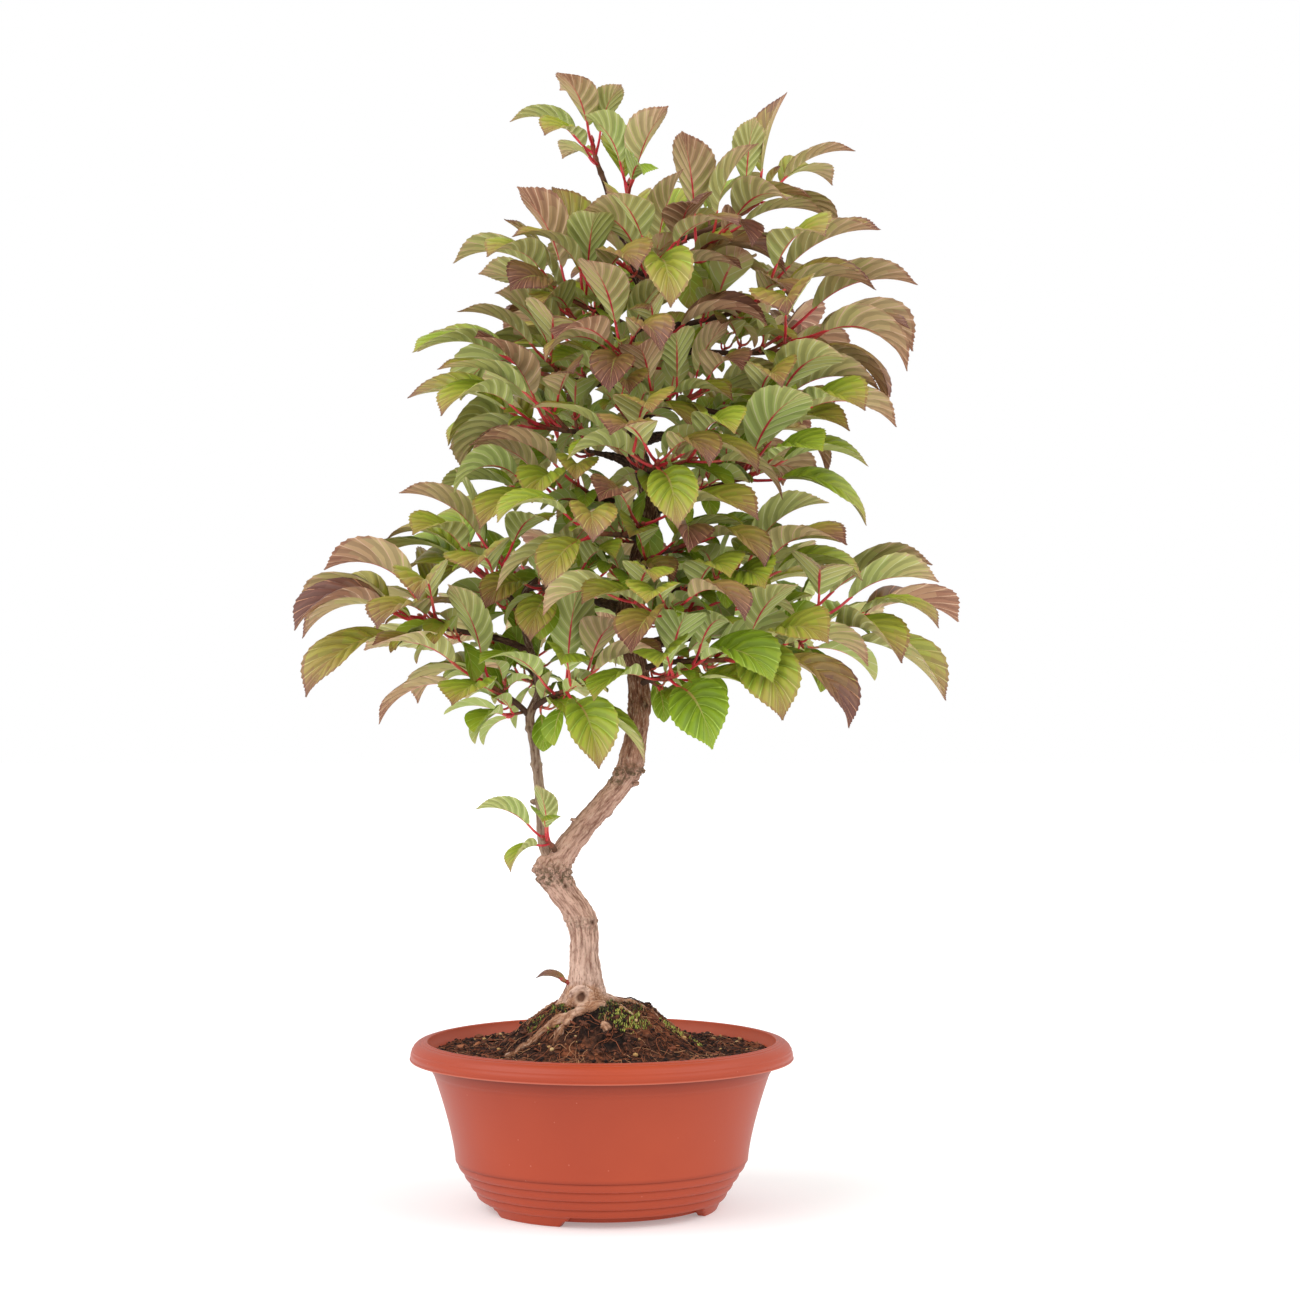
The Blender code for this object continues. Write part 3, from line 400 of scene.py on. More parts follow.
def bowlProfile():
    # Radius and height, from the middle of the floor up the inside, over the rim, down to the base
    inner, top, lip, lipBottom = bowl["rimInnerRadius"], bowl["height"], bowl["rimRadius"], bowl["lipBottom"]
    bodyTop, bodyFoot, bodyBottom = bowl["bodyTopRadius"], bowl["bodyFootRadius"], bowl["bodyFootHeight"]
    profile = [(0.0, bowl["floorHeight"]), (bowl["flatRadius"], bowl["floorHeight"]), *innerWall()]
    # A narrow raised edge round the opening
    profile += [(inner + out, top + rise) for out, rise in bowl["openingEdge"]]
    crest = inner + bowl["crest"]
    drop = top - lipBottom - bowl["lipDepth"]
    for angle in range(0, 91, 5):
        turn = math.radians(angle)
        sunk = 0.0
        for line in bowl["rimLines"]:
            sunk += bowl["rimLineDepth"] * math.exp(-((angle - line) / bowl["rimLineWidth"]) ** 2)
        profile.append((crest + (lip - crest) * math.sin(turn) - sunk * math.sin(turn),
                        lipBottom + bowl["lipDepth"] + drop * math.cos(turn) - sunk * math.cos(turn)))
    profile += [(lip + out, lipBottom + rise) for out, rise in bowl["lipEdge"]]
    profile.append((lip - 1.8, lipBottom + bowl["lipHollow"]))
    profile += [(bodyTop + out, lipBottom + bowl["lipHollow"] + rise) for out, rise in bowl["underLip"]]
    profile.append((bodyTop + 0.3, lipBottom))
    height = lipBottom - 1.4
    while height > bodyBottom + 1.0:
        ledge = bowl["ledge"] / (1.0 + math.exp(-(height - bowl["ledgeHeight"]) / bowl["ledgeSlope"]))
        profile.append((bodyRadius(height) + ledge, height))
        height -= bowl["ledgeStep"] if abs(height - bowl["ledgeHeight"]) < 1.4 else bowl["bodyStep"]
    profile += [(bodyFoot, bodyBottom + 0.5), (bodyFoot - 0.3, bodyBottom)]
    inward = (bowl["stepTopRadius"] - bowl["stepFootRadius"]) / bowl["steps"]
    fall = (bodyBottom - bowl["stepFootHeight"]) / bowl["steps"]
    for step in range(bowl["steps"]):
        # A narrow groove runs above each band
        groove = bowl["stepTopRadius"] - inward * step - bowl["stepGroove"]
        bandTop = bodyBottom - fall * step
        profile += [(groove, bandTop + 0.10), (groove, bandTop - 0.25)]
        for angle in bowl["stepAngles"]:
            turn = math.radians(angle)
            profile.append((bowl["stepTopRadius"] - inward * (step + 1.0 - math.cos(turn)),
                            bodyBottom - fall * (step + math.sin(turn)) - 0.05))
    for share in (0.0, 0.16, 0.35, 0.55, 0.75, 0.9, 1.0):
        profile.append((bowl["stepFootRadius"] + (bowl["footRadius"] - bowl["stepFootRadius"]) * share,
                        bowl["stepFootHeight"] * (1.0 - share)))
    profile += [(bowl["footRadius"] - 0.5, 0.0), (bowl["baseRadius"], 0.0), (bowl["baseRadius"], bowl["baseHeight"]),
                (bowl["flatRadius"], bowl["baseHeight"]), (0.0, bowl["baseHeight"])]
    return profile


def notchLift(angle):
    # How high the bowl's foot is cut away at this turn from the front, in two steps with sloping sides
    lift = 0.0
    for foot in range(bowl["feet"]):
        middle = bowl["firstFoot"] + (foot + 0.5) * 360.0 / bowl["feet"]
        away = abs((angle - middle + 180.0) % 360.0 - 180.0)
        low = 0.0
        for width, top in zip(bowl["notchAngles"], bowl["notchHeights"]):
            share = max(0.0, min(1.0, (width / 2 - away) / bowl["notchSlope"] + 0.5))
            lift = max(lift, low + (top - low) * share if share > 0.0 else lift)
            low = top
    return lift


def makeBowlFinish():
    material, tree, shader = newMaterial("clayPlastic", 0.42, bowl["specular"])
    place = addNode(tree, "ShaderNodeTexCoord").outputs["Object"]
    fine = placeGroup(tree, grain, place, Scale=bowl["grain"], Speck_Size=bowl["specks"])
    broad = noiseNode(tree, place, bowl["cloud"], 3.0)
    colour = ramp(tree, broad, [(0.3, bowl["shade"]), (0.7, bowl["light"])])
    # A few pale specks, each smaller than the group's own
    speck = mathNode(tree, "GREATER_THAN", fine.outputs["Specks"], bowl["speckShare"])
    colour = mixTint(tree, mathNode(tree, "MULTIPLY", speck, bowl["speckMix"]), colour, bowl["edge"])
    # The lip's lower edge is painted pale, partly as wear and partly as a painted highlight, and painted shade
    # darkens the corner under it and the crease above the bands
    height = addNode(tree, "ShaderNodeSeparateXYZ", [("Vector", place)]).outputs["Z"]
    level = rangeNode(tree, height, 0.0, 100.0 * mm)
    paintedShade = ramp(tree, level, [(h / 100.0, tint) for h, tint in bowl["paintedShade"]])
    colour = mixTint(tree, 1.0, colour, paintedShade, "MULTIPLY")
    wornHighlight = ramp(tree, level, [(h / 100.0, (amount,) * 3) for h, amount in bowl["wornHighlight"]])
    colour = mixTint(tree, wornHighlight, colour, bowl["edge"])
    # Painted light: the wall inside, over the soil, is painted paler, as if it were better lit
    away = addNode(tree, "ShaderNodeVectorMath", [(0, place)], operation="MULTIPLY")
    away.inputs[1].default_value = (1.0, 1.0, 0.0)
    radius = addNode(tree, "ShaderNodeVectorMath", [(0, away.outputs["Vector"])], operation="LENGTH")
    within = mathNode(tree, "LESS_THAN", radius.outputs["Value"], (bowl["rimInnerRadius"] - 0.5) * mm)
    inside = mathNode(tree, "MULTIPLY", within, mathNode(tree, "GREATER_THAN", height, bowl["insideFrom"] * mm))
    colour = mixTint(tree, mathNode(tree, "MULTIPLY", inside, bowl["insideMix"]), colour, bowl["inside"])
    tree.links.new(colour, shader.inputs["Base Color"])
    tree.links.new(rangeNode(tree, broad, 0.0, 1.0, *bowl["roughness"]), shader.inputs["Roughness"])
    bumpNode(tree, shader, fine.outputs["Grain"], 0.12, bowl["grainDepth"])
    return material


def makeBowl():
    bm = bmesh.new()
    chain = [bm.verts.new((r * mm, 0.0, z * mm)) for r, z in bowlProfile()]
    edges = [bm.edges.new(pair) for pair in zip(chain, chain[1:])]
    bmesh.ops.spin(bm, geom=chain + edges, cent=(0, 0, 0), axis=(0, 0, 1), angle=2 * math.pi,
                   steps=bowl["turns"], use_merge=True)
    bmesh.ops.remove_doubles(bm, verts=bm.verts, dist=0.00001)
    foot = bowl["notchHeights"][-1] + 0.5
    for vert in bm.verts:
        radius, height = math.hypot(vert.co.x, vert.co.y) / mm, vert.co.z / mm
        if radius < bowl["baseRadius"] - 0.2 or height > foot or radius > bowl["notchReach"]:
            continue
        if radius < bowl["baseRadius"] + 0.2 and height > bowl["baseHeight"] - 0.1:
            continue
        lift = notchLift(math.degrees(math.atan2(vert.co.x, -vert.co.y)))
        if lift > height:
            vert.co.z = lift * mm
    bmesh.ops.recalc_face_normals(bm, faces=bm.faces)
    mesh = meshFrom(bm, "bowl")
    mesh.set_sharp_from_angle(angle=math.radians(bowl["sharpAngle"]))
    mesh.materials.append(makeBowlFinish())
    addPiece("bowl", mesh, ("pot",))


makeBowl()
print("bowl made")


# Soil

soil = {
    "level": 81.0, "moundHeight": 26.0, "moundRadius": 62.5, "moundCentre": (-2.0, 2.0), "moundFlat": 0.24,
    "clear": 0.5, "cell": 0.9,
    # Height and width of the lumps and of the crumbs on them
    "lumps": 1.5, "lumpSize": 12.0, "crumbs": 0.9, "crumbSize": 3.2,
    # The edge lies flatter and a little lower than the rest, and its skirt goes down behind the litter
    "edgeWidth": 4.0, "edgeDrop": 0.6, "skirtDrop": 8.0, "skirtDraw": 0.985,
    "black": (36, 25, 22), "brown": (88, 56, 42), "rust": (134, 78, 52), "shadow": (90, 80, 76),
    # Where along the mixed noise the soil is black, brown and rust
    "tones": (0.405, 0.485, 0.56), "bump": 0.9, "bumpDepth": 0.0012,
}
wallRadius = valueAt([(z, r) for r, z in innerWall()], soil["level"]) - soil["clear"]


def soilHeight(x, y):
    # The level by the wall with the mound over it, in millimetres, before its lumps
    away = math.hypot(x - soil["moundCentre"][0], y - soil["moundCentre"][1]) / soil["moundRadius"]
    share = max(0.0, min(1.0, (away - soil["moundFlat"]) / (1.0 - soil["moundFlat"])))
    return soil["level"] + soil["moundHeight"] * 0.5 * (1.0 + math.cos(math.pi * share))


def soilRelief(x, y):
    lump = noise.fractal(Vector((x / soil["lumpSize"], y / soil["lumpSize"], 3.0)), 0.9, 2.0, 3)
    crumb = noise.fractal(Vector((x / soil["crumbSize"], y / soil["crumbSize"], 9.0)), 0.8, 2.1, 4)
    return soil["lumps"] * lump + soil["crumbs"] * crumb


def makeSoilFinish():
    material, tree, shader = newMaterial("pottingSoil", 0.95, 0.2)
    place = addNode(tree, "ShaderNodeTexCoord").outputs["Object"]
    crumbs = placeGroup(tree, grain, place, Scale=420.0, Speck_Size=520.0)
    broad, region = noiseNode(tree, place, 130.0, 4.0, 0.7), noiseNode(tree, place, 26.0, 2.0)
    mixed = mathNode(tree, "ADD", broad, mathNode(tree, "MULTIPLY", region, 0.9))
    half = mathNode(tree, "MULTIPLY", mixed, 0.5)       # keeps the sum inside the ramp
    colour = ramp(tree, half, list(zip(soil["tones"], (soil["black"], soil["brown"], soil["rust"]))))
    # Painted shade: the soil is darker in the hollows of its crumbs, where the grain is low
    dark = ramp(tree, crumbs.outputs["Grain"], [(0.32, soil["shadow"]), (0.6, (255, 255, 255))])
    colour = mixTint(tree, 1.0, colour, dark, "MULTIPLY")
    tree.links.new(colour, shader.inputs["Base Color"])
    bumpNode(tree, shader, crumbs.outputs["Grain"], soil["bump"], soil["bumpDepth"])
    return material


def makeSoilBed():
    bm = bmesh.new()
    cells = round(2 * wallRadius / soil["cell"])
    bmesh.ops.create_grid(bm, x_segments=cells, y_segments=cells, size=wallRadius)
    # The square grid is drawn into a disc, so that its edge follows the wall
    for vert in bm.verts:
        x, y = vert.co.x / wallRadius, vert.co.y / wallRadius
        x, y = x * math.sqrt(1.0 - y * y / 2), y * math.sqrt(1.0 - x * x / 2)
        x, y = x * wallRadius, y * wallRadius
        edge = min(1.0, (wallRadius - math.hypot(x, y)) / soil["edgeWidth"])
        vert.co = (x, y, soilHeight(x, y) + soilRelief(x, y) * edge - soil["edgeDrop"] * (1.0 - edge))
    surface = BVHTree.FromBMesh(bm)
    rim = [edge for edge in bm.edges if edge.is_boundary]
    skirt = bmesh.ops.extrude_edge_only(bm, edges=rim)["geom"]
    lowered = [item for item in skirt if isinstance(item, bmesh.types.BMVert)]
    for vert in lowered:
        vert.co.z = soil["level"] - soil["skirtDrop"]
        vert.co.xy *= soil["skirtDraw"]
    bmesh.ops.holes_fill(bm, edges=[edge for edge in bm.edges if edge.is_boundary])
    bmesh.ops.recalc_face_normals(bm, faces=bm.faces)
    bmesh.ops.scale(bm, vec=(mm, mm, mm), verts=bm.verts)
    mesh = meshFrom(bm, "soilBed")
    mesh.materials.append(makeSoilFinish())
    addPiece("soilBed", mesh, ("soil",))
    return surface


soilSurface = makeSoilBed()
print("soil bed made")


def onSoil(x, y):
    # The soil's surface straight below a place, and which way it faces there
    hit, normal, _, _ = soilSurface.ray_cast(Vector((x, y, 200.0)), Vector((0.0, 0.0, -1.0)))
    return (hit, normal) if hit else (Vector((x, y, soil["level"])), up.copy())


def soilSpot(source, inner, outer):
    # A random place on the soil, even over its area
    reach = wallRadius * math.sqrt(between((inner ** 2, outer ** 2), source.random()))
    turn = source.uniform(0.0, 2.0 * math.pi)
    return onSoil(reach * math.cos(turn), reach * math.sin(turn))


# Tubes: limbs, twigs, leaf stalks, roots and fibres

def carryFrames(points):
    # Frames along a run of points, each turned as little as possible from the one before
    frames = []
    side = None
    for index, point in enumerate(points):
        before, after = points[max(index - 1, 0)], points[min(index + 1, len(points) - 1)]
        along = (after - before).normalized()
        if side is None:
            side = along.cross(up if abs(along.z) < 0.9 else Vector((1.0, 0.0, 0.0)))
        side = (side - along * side.dot(along)).normalized()
        frames.append((point, side, along.cross(side), along))
    return frames


def ringPlace(place, radius):
    # The matrix that lays a disc of radius 1 across a limb
    point, side, over, along = place
    matrix = Matrix((side * radius, over * radius, along * radius)).transposed().to_4x4()
    matrix.translation = point
    return matrix


def sweepTube(bm, points, radii, sides, slots=None):
    # A disc pushed along the points, one extrusion for each
    frames = carryFrames(points)
    start = ringPlace(frames[0], radii[0])
    ring = bmesh.ops.create_circle(bm, cap_ends=True, segments=sides, radius=1.0, matrix=start)["verts"]
    face = ring[0].link_faces[0]
    if slots:
        face.material_index = slots[0]
    old = start
    for index in range(1, len(points)):
        made = bmesh.ops.extrude_face_region(bm, geom=[face])["geom"]
        face = [item for item in made if isinstance(item, bmesh.types.BMFace)][0]
        new = ringPlace(frames[index], radii[index])
        bmesh.ops.transform(bm, matrix=new @ old.inverted(), verts=face.verts)
        if slots:
            face.material_index = slots[index]
            for edge in face.edges:
                for wall in edge.link_faces:
                    wall.material_index = slots[index]
        old = new


class TubeSet:
    # Tubes made one at a time, so that each stays quick to make, and joined at the end
    def __init__(self, materials):
        self.materials = materials
        self.meshes = []

    def add(self, points, radii, sides, slots):
        bm = bmesh.new()
        sweepTube(bm, points, radii, sides, slots)
        bmesh.ops.recalc_face_normals(bm, faces=bm.faces)
        bmesh.ops.scale(bm, vec=(mm, mm, mm), verts=bm.verts)
        mesh = meshFrom(bm, "tube")
        for material in self.materials:
            mesh.materials.append(material)
        self.meshes.append(mesh)

    def finish(self, name, slotName):
        joined = joinMeshes(name, self.meshes)
        print(name, triangles(joined), "triangles")
        addPiece(name, joined)


def smoothPath(stations, spacing):
    # A smooth run through (height, x, y) stations, in steps of about the spacing
    points = [Vector((x, y, height)) for height, x, y in stations]
    padded = [2 * points[0] - points[1], *points, 2 * points[-1] - points[-2]]
    path = []
    for a, b, c, d in zip(padded, padded[1:], padded[2:], padded[3:]):
        count = max(1, round((c - b).length / spacing))
        for step in range(count):
            t = step / count
            path.append(0.5 * (2 * b + (c - a) * t + (2 * a - 5 * b + 4 * c - d) * t * t
                               + (3 * b - a - 3 * c + d) * t ** 3))
    path.append(points[-1])
    return path


def pointAt(path, height):
    # Where a path that rises passes a height
    for low, high in zip(path, path[1:]):
        if low.z <= height <= high.z:
            return low.lerp(high, (height - low.z) / max(high.z - low.z, 1e-6))
    return path[-1].copy()


# Trunk, second stem and surface roots

trunk = {
    "path": ((102, -9.0, 0), (124, -9.0, 0), (150, -11.0, 0), (166, -21.3, 0), (176, -26.0, 0),
             (183, -21.5, 1), (199, -9.0, 3), (223, 11.5, 2), (238, 16.2, 0), (256, 19.4, 0), (279, 18.8, 3),
             (298, 15.0, 5), (312, 13.2, 5), (338, 19.4, 3), (360, 24.6, -1), (380, 23.8, -5),
             (396, 17.8, -5), (418, 19.0, -1), (435, 17.8, 3), (461, 20.4, 2), (474, 24.0, 0),
             (492, 16.0, -3), (512, 8.5, -2), (528, 2.0, -1)),
    "radii": ((102, 7.2), (170, 7.3), (198, 6.0), (396, 5.2), (461, 4.0), (492, 2.6), (528, 1.6)),
    "flare": 11.5, "flareFade": 9.5,
    "knobs": ((150, 0.5, 5), (176, 1.8, 6), (236, 0.8, 7), (418, -0.4, 6)),
    "spacing": 13.0, "fineSpacing": 3.0, "sides": 24, "voxel": 0.6,
    # The bark's ridges, cracks and strands, and the size and height of its lumps
    "fibres": (0.22, 0.14, 0.26), "lumps": ((7.0, 0.75), (3.0, 0.38), (1.3, 0.22)),
    "flakyBelow": 107.0, "flakes": 0.6,
    # The bark's tone at each height, from the roots up. It darkens up in the crown, partly as the bark's own colour
    # and partly as painted shade under the leaves
    "tones": ((84, (152, 106, 76)), (101, (184, 136, 104)), (108, (202, 158, 130)), (115, (228, 194, 176)),
              (150, (224, 184, 164)), (226, (204, 162, 142)), (242, (178, 132, 110)), (262, (156, 110, 88)),
              (290, (132, 92, 74)), (340, (118, 82, 66)), (420, (96, 66, 52)), (520, (66, 46, 38))),
    "speckTint": (74, 46, 34), "lightTint": (222, 190, 168), "knotTint": (84, 60, 46),
    # Rough rings where old shoots were cut: height, spread and roughness. The lowest ones have a crust
    "crusted": 6,
    "rings": ((150.0, 4.0, 1.0), (175.0, 6.0, 2.1), (228.0, 6.0, 1.5), (262.0, 4.0, 0.9), (279.0, 3.0, 1.0),
              (312.0, 4.0, 0.8), (360.0, 3.0, 0.7), (396.0, 4.0, 0.8), (461.0, 4.0, 0.6)),
    # Healed knots: place on the bark, and size
    "knots": ((Vector((-7.0, -6.0, 194.0)), 2.6), (Vector((14.5, -6.5, 227.0)), 3.0),
              (Vector((-32.5, -3.0, 179.0)), 2.8), (Vector((-19.0, -7.5, 168.0)), 2.4),
              (Vector((-5.0, -6.0, 149.0)), 2.6), (Vector((23.0, -5.0, 262.0)), 2.4),
              (Vector((4.0, 6.0, 205.0)), 2.6), (Vector((-12.0, 7.5, 132.0)), 2.6)),
    # Short stubs of old twigs: foot, tip and radius
    "stubs": ((Vector((-9.0, 1.0, 200.0)), Vector((-16.6, 0.0, 202.6)), 1.3),
              (Vector((14.0, 1.0, 226.0)), Vector((21.6, 0.0, 228.2)), 1.5),
              (Vector((13.0, 0.0, 220.0)), Vector((19.4, -1.0, 221.4)), 1.3)),
}
stem = {
    "path": ((176, -25.0, 0), (190, -30.5, -3), (213, -32.0, -5), (240, -35.0, -6), (257, -37.4, -7),
             (271, -32.5, -7), (296, -38.7, -6), (308, -40.8, -5), (321, -40.0, -4), (328, -33.0, -4)),
    "radii": ((176, 3.0), (240, 2.6), (328, 1.9)),
    "nodes": (212, 231, 250, 284, 306), "spacing": 11.0, "fineSpacing": 2.2, "sides": 16, "voxel": 0.5,
    "fibres": (0.16, 0.10, 0.12), "lumps": ((3.0, 0.25),),
    "tones": ((176, (188, 160, 138)), (235, (176, 150, 132)), (262, (136, 108, 90)), (328, (96, 70, 56))),
    "speckTint": (60, 44, 36), "lightTint": (176, 158, 140),
    # Short stubs of old leaf stalks: foot, tip and radius
    "stubs": ((Vector((-31.0, -5.5, 210.5)), Vector((-26.6, -6.5, 213.6)), 1.25),
              (Vector((-33.0, -5.0, 210.5)), Vector((-36.4, -5.5, 212.2)), 1.1)),
}
roots = {
    "spacing": 1.8, "sides": 10, "wander": 1.6, "bury": 0.1, "knobbly": 0.5, "diveFrom": 0.85, "dive": 2.5,
    # Each root's places on the soil, its radius at the trunk and at its end
    "runs": (
        (((2, -15), (-7, -21), (-18, -23), (-30, -25), (-50, -31)), 3.0, 1.5),
        (((-6, -19), (-15, -24), (-20, -31), (-26, -38)), 2.8, 1.3),
        (((-2, -8), (4, -12), (9, -15), (16, -20)), 1.3, 0.7),
        (((-6, 0), (0, -1), (6, -3), (13, -6)), 5.2, 1.6),
        (((-4, -2), (8, -3), (18, -3), (31, -6)), 1.9, 0.9),
        (((-9, 6), (-12, 20), (-9, 36)), 3.2, 1.3),
        (((-15, 2), (-28, 6), (-40, 2)), 2.4, 1.0),
        (((0, -32), (2, -32), (4, -33)), 2.9, 2.6),
    ),
}
# The ring that healed round a branch cut off at the trunk's foot
cutScar = {
    "place": Vector((-10.5, -16.6, 111.0)), "radius": 4.5, "thick": 2.3, "sides": 10, "steps": 24, "lean": 82.0,
    "heart": Vector((-10.4, -15.4, 110.8)), "heartBack": 2.7, "heartFlat": 0.7,
    # Tones round its heart, and two cracks: step from the heart, inner and outer edge, and tint
    "marks": (((0.0, 0.0, 0.0), 4.2, 5.8, (208, 172, 148)), ((0.0, 0.0, 0.0), 2.2, 4.5, (128, 92, 72)),
              ((0.9, 0.0, 1.5), 0.4, 2.4, (78, 54, 44)), ((-1.6, 0.0, -0.6), 0.3, 1.6, (84, 60, 48))),
}
# What all the bark shares
bark = {
    "roughness": 0.85, "specular": 0.25, "bump": 0.8, "bumpDepth": 0.0007,
    # How many places of the limbs are tried for each point, and how far apart their fibre patterns start
    "nearest": 6, "apart": 37.0,
    # Long fibres and the short flakes over them, each with its darker tone and how much of it shows
    "fibres": {"Scale": 1.0, "Stretch": 0.09}, "fibreShade": (168, 148, 138), "fibreMix": 0.85,
    "flakes": {"Scale": 2.0, "Stretch": 0.26}, "flakeShade": (158, 132, 116), "flakeMix": 0.6,
    "paleMix": 0.35, "speckMix": 0.45,
    # The tones sway up and down in patches, and so does the crust of the rough rings, in metres
    "patch": 75.0, "patchSway": 0.07, "crustSway": 0.03, "crust": 190, "crustTint": (96, 84, 60),
}


def trunkRadius(height):
    radius = valueAt(trunk["radii"], height)
    radius += trunk["flare"] * math.exp(-(height - trunk["path"][0][0]) / trunk["flareFade"])
    for knob, swell, spread in trunk["knobs"]:
        radius += swell * math.exp(-((height - knob) / spread) ** 2)
    return radius


def stemRadius(height):
    return valueAt(stem["radii"], height)


trunkPath = smoothPath(trunk["path"], trunk["spacing"])
stemPath = smoothPath(stem["path"], stem["spacing"])


def limbCoordinates(mesh, tubes):
    # For each vertex: its place in the cross-section of the nearest limb and its run along it
    samples = []
    for number, (points, radii, _) in enumerate(tubes):
        run = number * bark["apart"]
        for (point, side, over, along), radius, before in zip(carryFrames(points), radii, [points[0], *points]):
            run += (point - before).length
            samples.append((point, side, over, along, radius, run))
    tree = kdtree.KDTree(len(samples))
    for index, sample in enumerate(samples):
        tree.insert(sample[0], index)
    tree.balance()
    found = []
    for vert in mesh.vertices:
        place = vert.co / mm
        near = min(tree.find_n(place, bark["nearest"]), key=lambda hit: hit[2] - samples[hit[1]][4])
        point, side, over, along, _, run = samples[near[1]]
        away = place - point
        found.append(Vector((away.dot(side), away.dot(over), run + away.dot(along))))
    return found


def barkMesh(name, tubes, voxel, relief, extra=None):
    # Limbs run together by a voxel remesh, then given the bark's fibres, cracks and lumps
    bm = bmesh.new()
    for points, radii, sides in tubes:
        sweepTube(bm, points, radii, sides)
    if extra:
        extra(bm)
    bmesh.ops.recalc_face_normals(bm, faces=bm.faces)
    bmesh.ops.scale(bm, vec=(mm, mm, mm), verts=bm.verts)
    rough = bpy.data.objects.new(name, meshFrom(bm, name))
    scene.collection.objects.link(rough)
    remesh = rough.modifiers.new("together", "REMESH")
    remesh.mode = "VOXEL"
    remesh.voxel_size = voxel * mm
    smooth = rough.modifiers.new("soften", "SMOOTH")
    smooth.factor = 0.5
    smooth.iterations = 3
    mesh = bpy.data.meshes.new_from_object(rough.evaluated_get(bpy.context.evaluated_depsgraph_get()))
    bpy.data.objects.remove(rough, do_unlink=True)
    mesh.name = name
    places = limbCoordinates(mesh, tubes)
    moved = []
    for vert, place in zip(mesh.vertices, places):
        moved.append(vert.co + vert.normal * (relief(place, vert.co / mm) * mm))
    for vert, co in zip(mesh.vertices, moved):
        vert.co = co
    attribute = mesh.attributes.new("limb", "FLOAT_VECTOR", "POINT")
    attribute.data.foreach_set("vector", [value for place in places for value in place])
    mesh.polygons.foreach_set("use_smooth", [True] * len(mesh.polygons))
    return mesh


def fibreRelief(place, fibre, crack, fine):
    # Ridges along the limb, split by narrow cracks, with fine strands over them
    wide = noise.noise(Vector((place.x / 1.7, place.y / 1.7, place.z / 16.0)))
    split = abs(noise.noise(Vector((place.x / 2.4 + 9.0, place.y / 2.4, place.z / 11.0))))
    strand = noise.noise(Vector((place.x / 0.8, place.y / 0.8 + 4.0, place.z / 5.0)))
    return fibre * wide - crack * max(0.0, 1.0 - split / 0.12) + fine * strand


def barkRelief(place, point, limb):
    lumps = sum(amount * noise.noise(point / size) for size, amount in limb["lumps"])
    return fibreRelief(place, *limb["fibres"]) + lumps


def trunkRelief(place, point):
    height = point.z
    relief = barkRelief(place, point, trunk)
    if height < trunk["flakyBelow"]:
        # The roots are flaky and knobbly
        relief += trunk["flakes"] * noise.fractal(point / 2.6, 0.9, 2.0, 3)
    for ring, spread, rough in trunk["rings"]:
        near = math.exp(-((height - ring) / spread) ** 2)
        if near > 0.02:
            relief += near * rough * (noise.fractal(point / 2.2, 0.8, 2.0, 3) + 0.35)
    for knot, size in trunk["knots"]:
        # A lip of bark round a hollow
        away = (point - knot).length / size
        if away < 2.2:
            hollow = 1.6 + 1.2 * noise.noise(point / 1.4)
            relief += 1.4 * math.exp(-away ** 2) - hollow * math.exp(-(away / 0.45) ** 2)
    return relief


def stemRelief(place, point):
    relief = barkRelief(place, point, stem)
    for node in stem["nodes"]:
        # A narrow ridge on a wider, rougher swelling
        relief += 0.8 * math.exp(-((point.z - node) / 1.3) ** 2)
        relief += 0.5 * math.exp(-((point.z - node) / 2.6) ** 2) * noise.noise(point / 1.4)
    return relief


def rootTube(places, first, last):
    # A root that wanders over the soil, half sunk in it, knobbly and thinner to its end
    path = smoothPath([(0.0, x, y) for x, y in places], roots["spacing"])
    points, radii = [], []
    for index, point in enumerate(path):
        share = index / (len(path) - 1)
        radius = (first + (last - first) * share) * (1.0 + roots["knobbly"] * noise.noise(point / 5.0))
        shift = noise.noise_vector(point / 9.0) * roots["wander"]
        hit, _ = onSoil(point.x + shift.x, point.y + shift.y)
        sunk = roots["bury"] * radius - roots["dive"] * radius * max(0.0, share - roots["diveFrom"])
        points.append(hit + up * sunk)
        radii.append(radius)
    return points, radii


def stubTube(foot, tip, radius):
    # A short stub that stands out of the bark and is a little thicker at its end
    return [foot, foot.lerp(tip, 0.75), tip], [radius, radius, 0.8 * radius], 10


def addCutScar(bm):
    ring = bmesh.ops.create_circle(bm, segments=cutScar["sides"], radius=cutScar["thick"])["verts"]
    own = set(ring)
    # Kept as a list in the mesh's order, so that every run spins the same ring
    geom = ring + [edge for edge in bm.edges if edge.verts[0] in own and edge.verts[1] in own]
    middle = (0, 0, 0)
    bmesh.ops.rotate(bm, verts=ring, cent=middle, matrix=Matrix.Rotation(math.radians(90.0), 3, "X"))
    bmesh.ops.translate(bm, verts=ring, vec=(cutScar["radius"], 0.0, 0.0))
    before = set(bm.verts)
    bmesh.ops.spin(bm, geom=geom, cent=middle, axis=(0, 0, 1), angle=2 * math.pi, steps=cutScar["steps"],
                   use_merge=True)
    torus = [vert for vert in bm.verts if vert not in before] + ring
    bmesh.ops.rotate(bm, verts=torus, cent=middle, matrix=Matrix.Rotation(math.radians(cutScar["lean"]), 3, "X"))
    bmesh.ops.translate(bm, verts=torus, vec=cutScar["place"])
    heart = bmesh.ops.create_uvsphere(bm, u_segments=12, v_segments=8, radius=cutScar["radius"] - 0.6)["verts"]
    bmesh.ops.scale(bm, verts=heart, vec=(1.0, cutScar["heartFlat"], 1.0))
    bmesh.ops.translate(bm, verts=heart, vec=cutScar["place"] + Vector((0.0, cutScar["heartBack"], 0.0)))


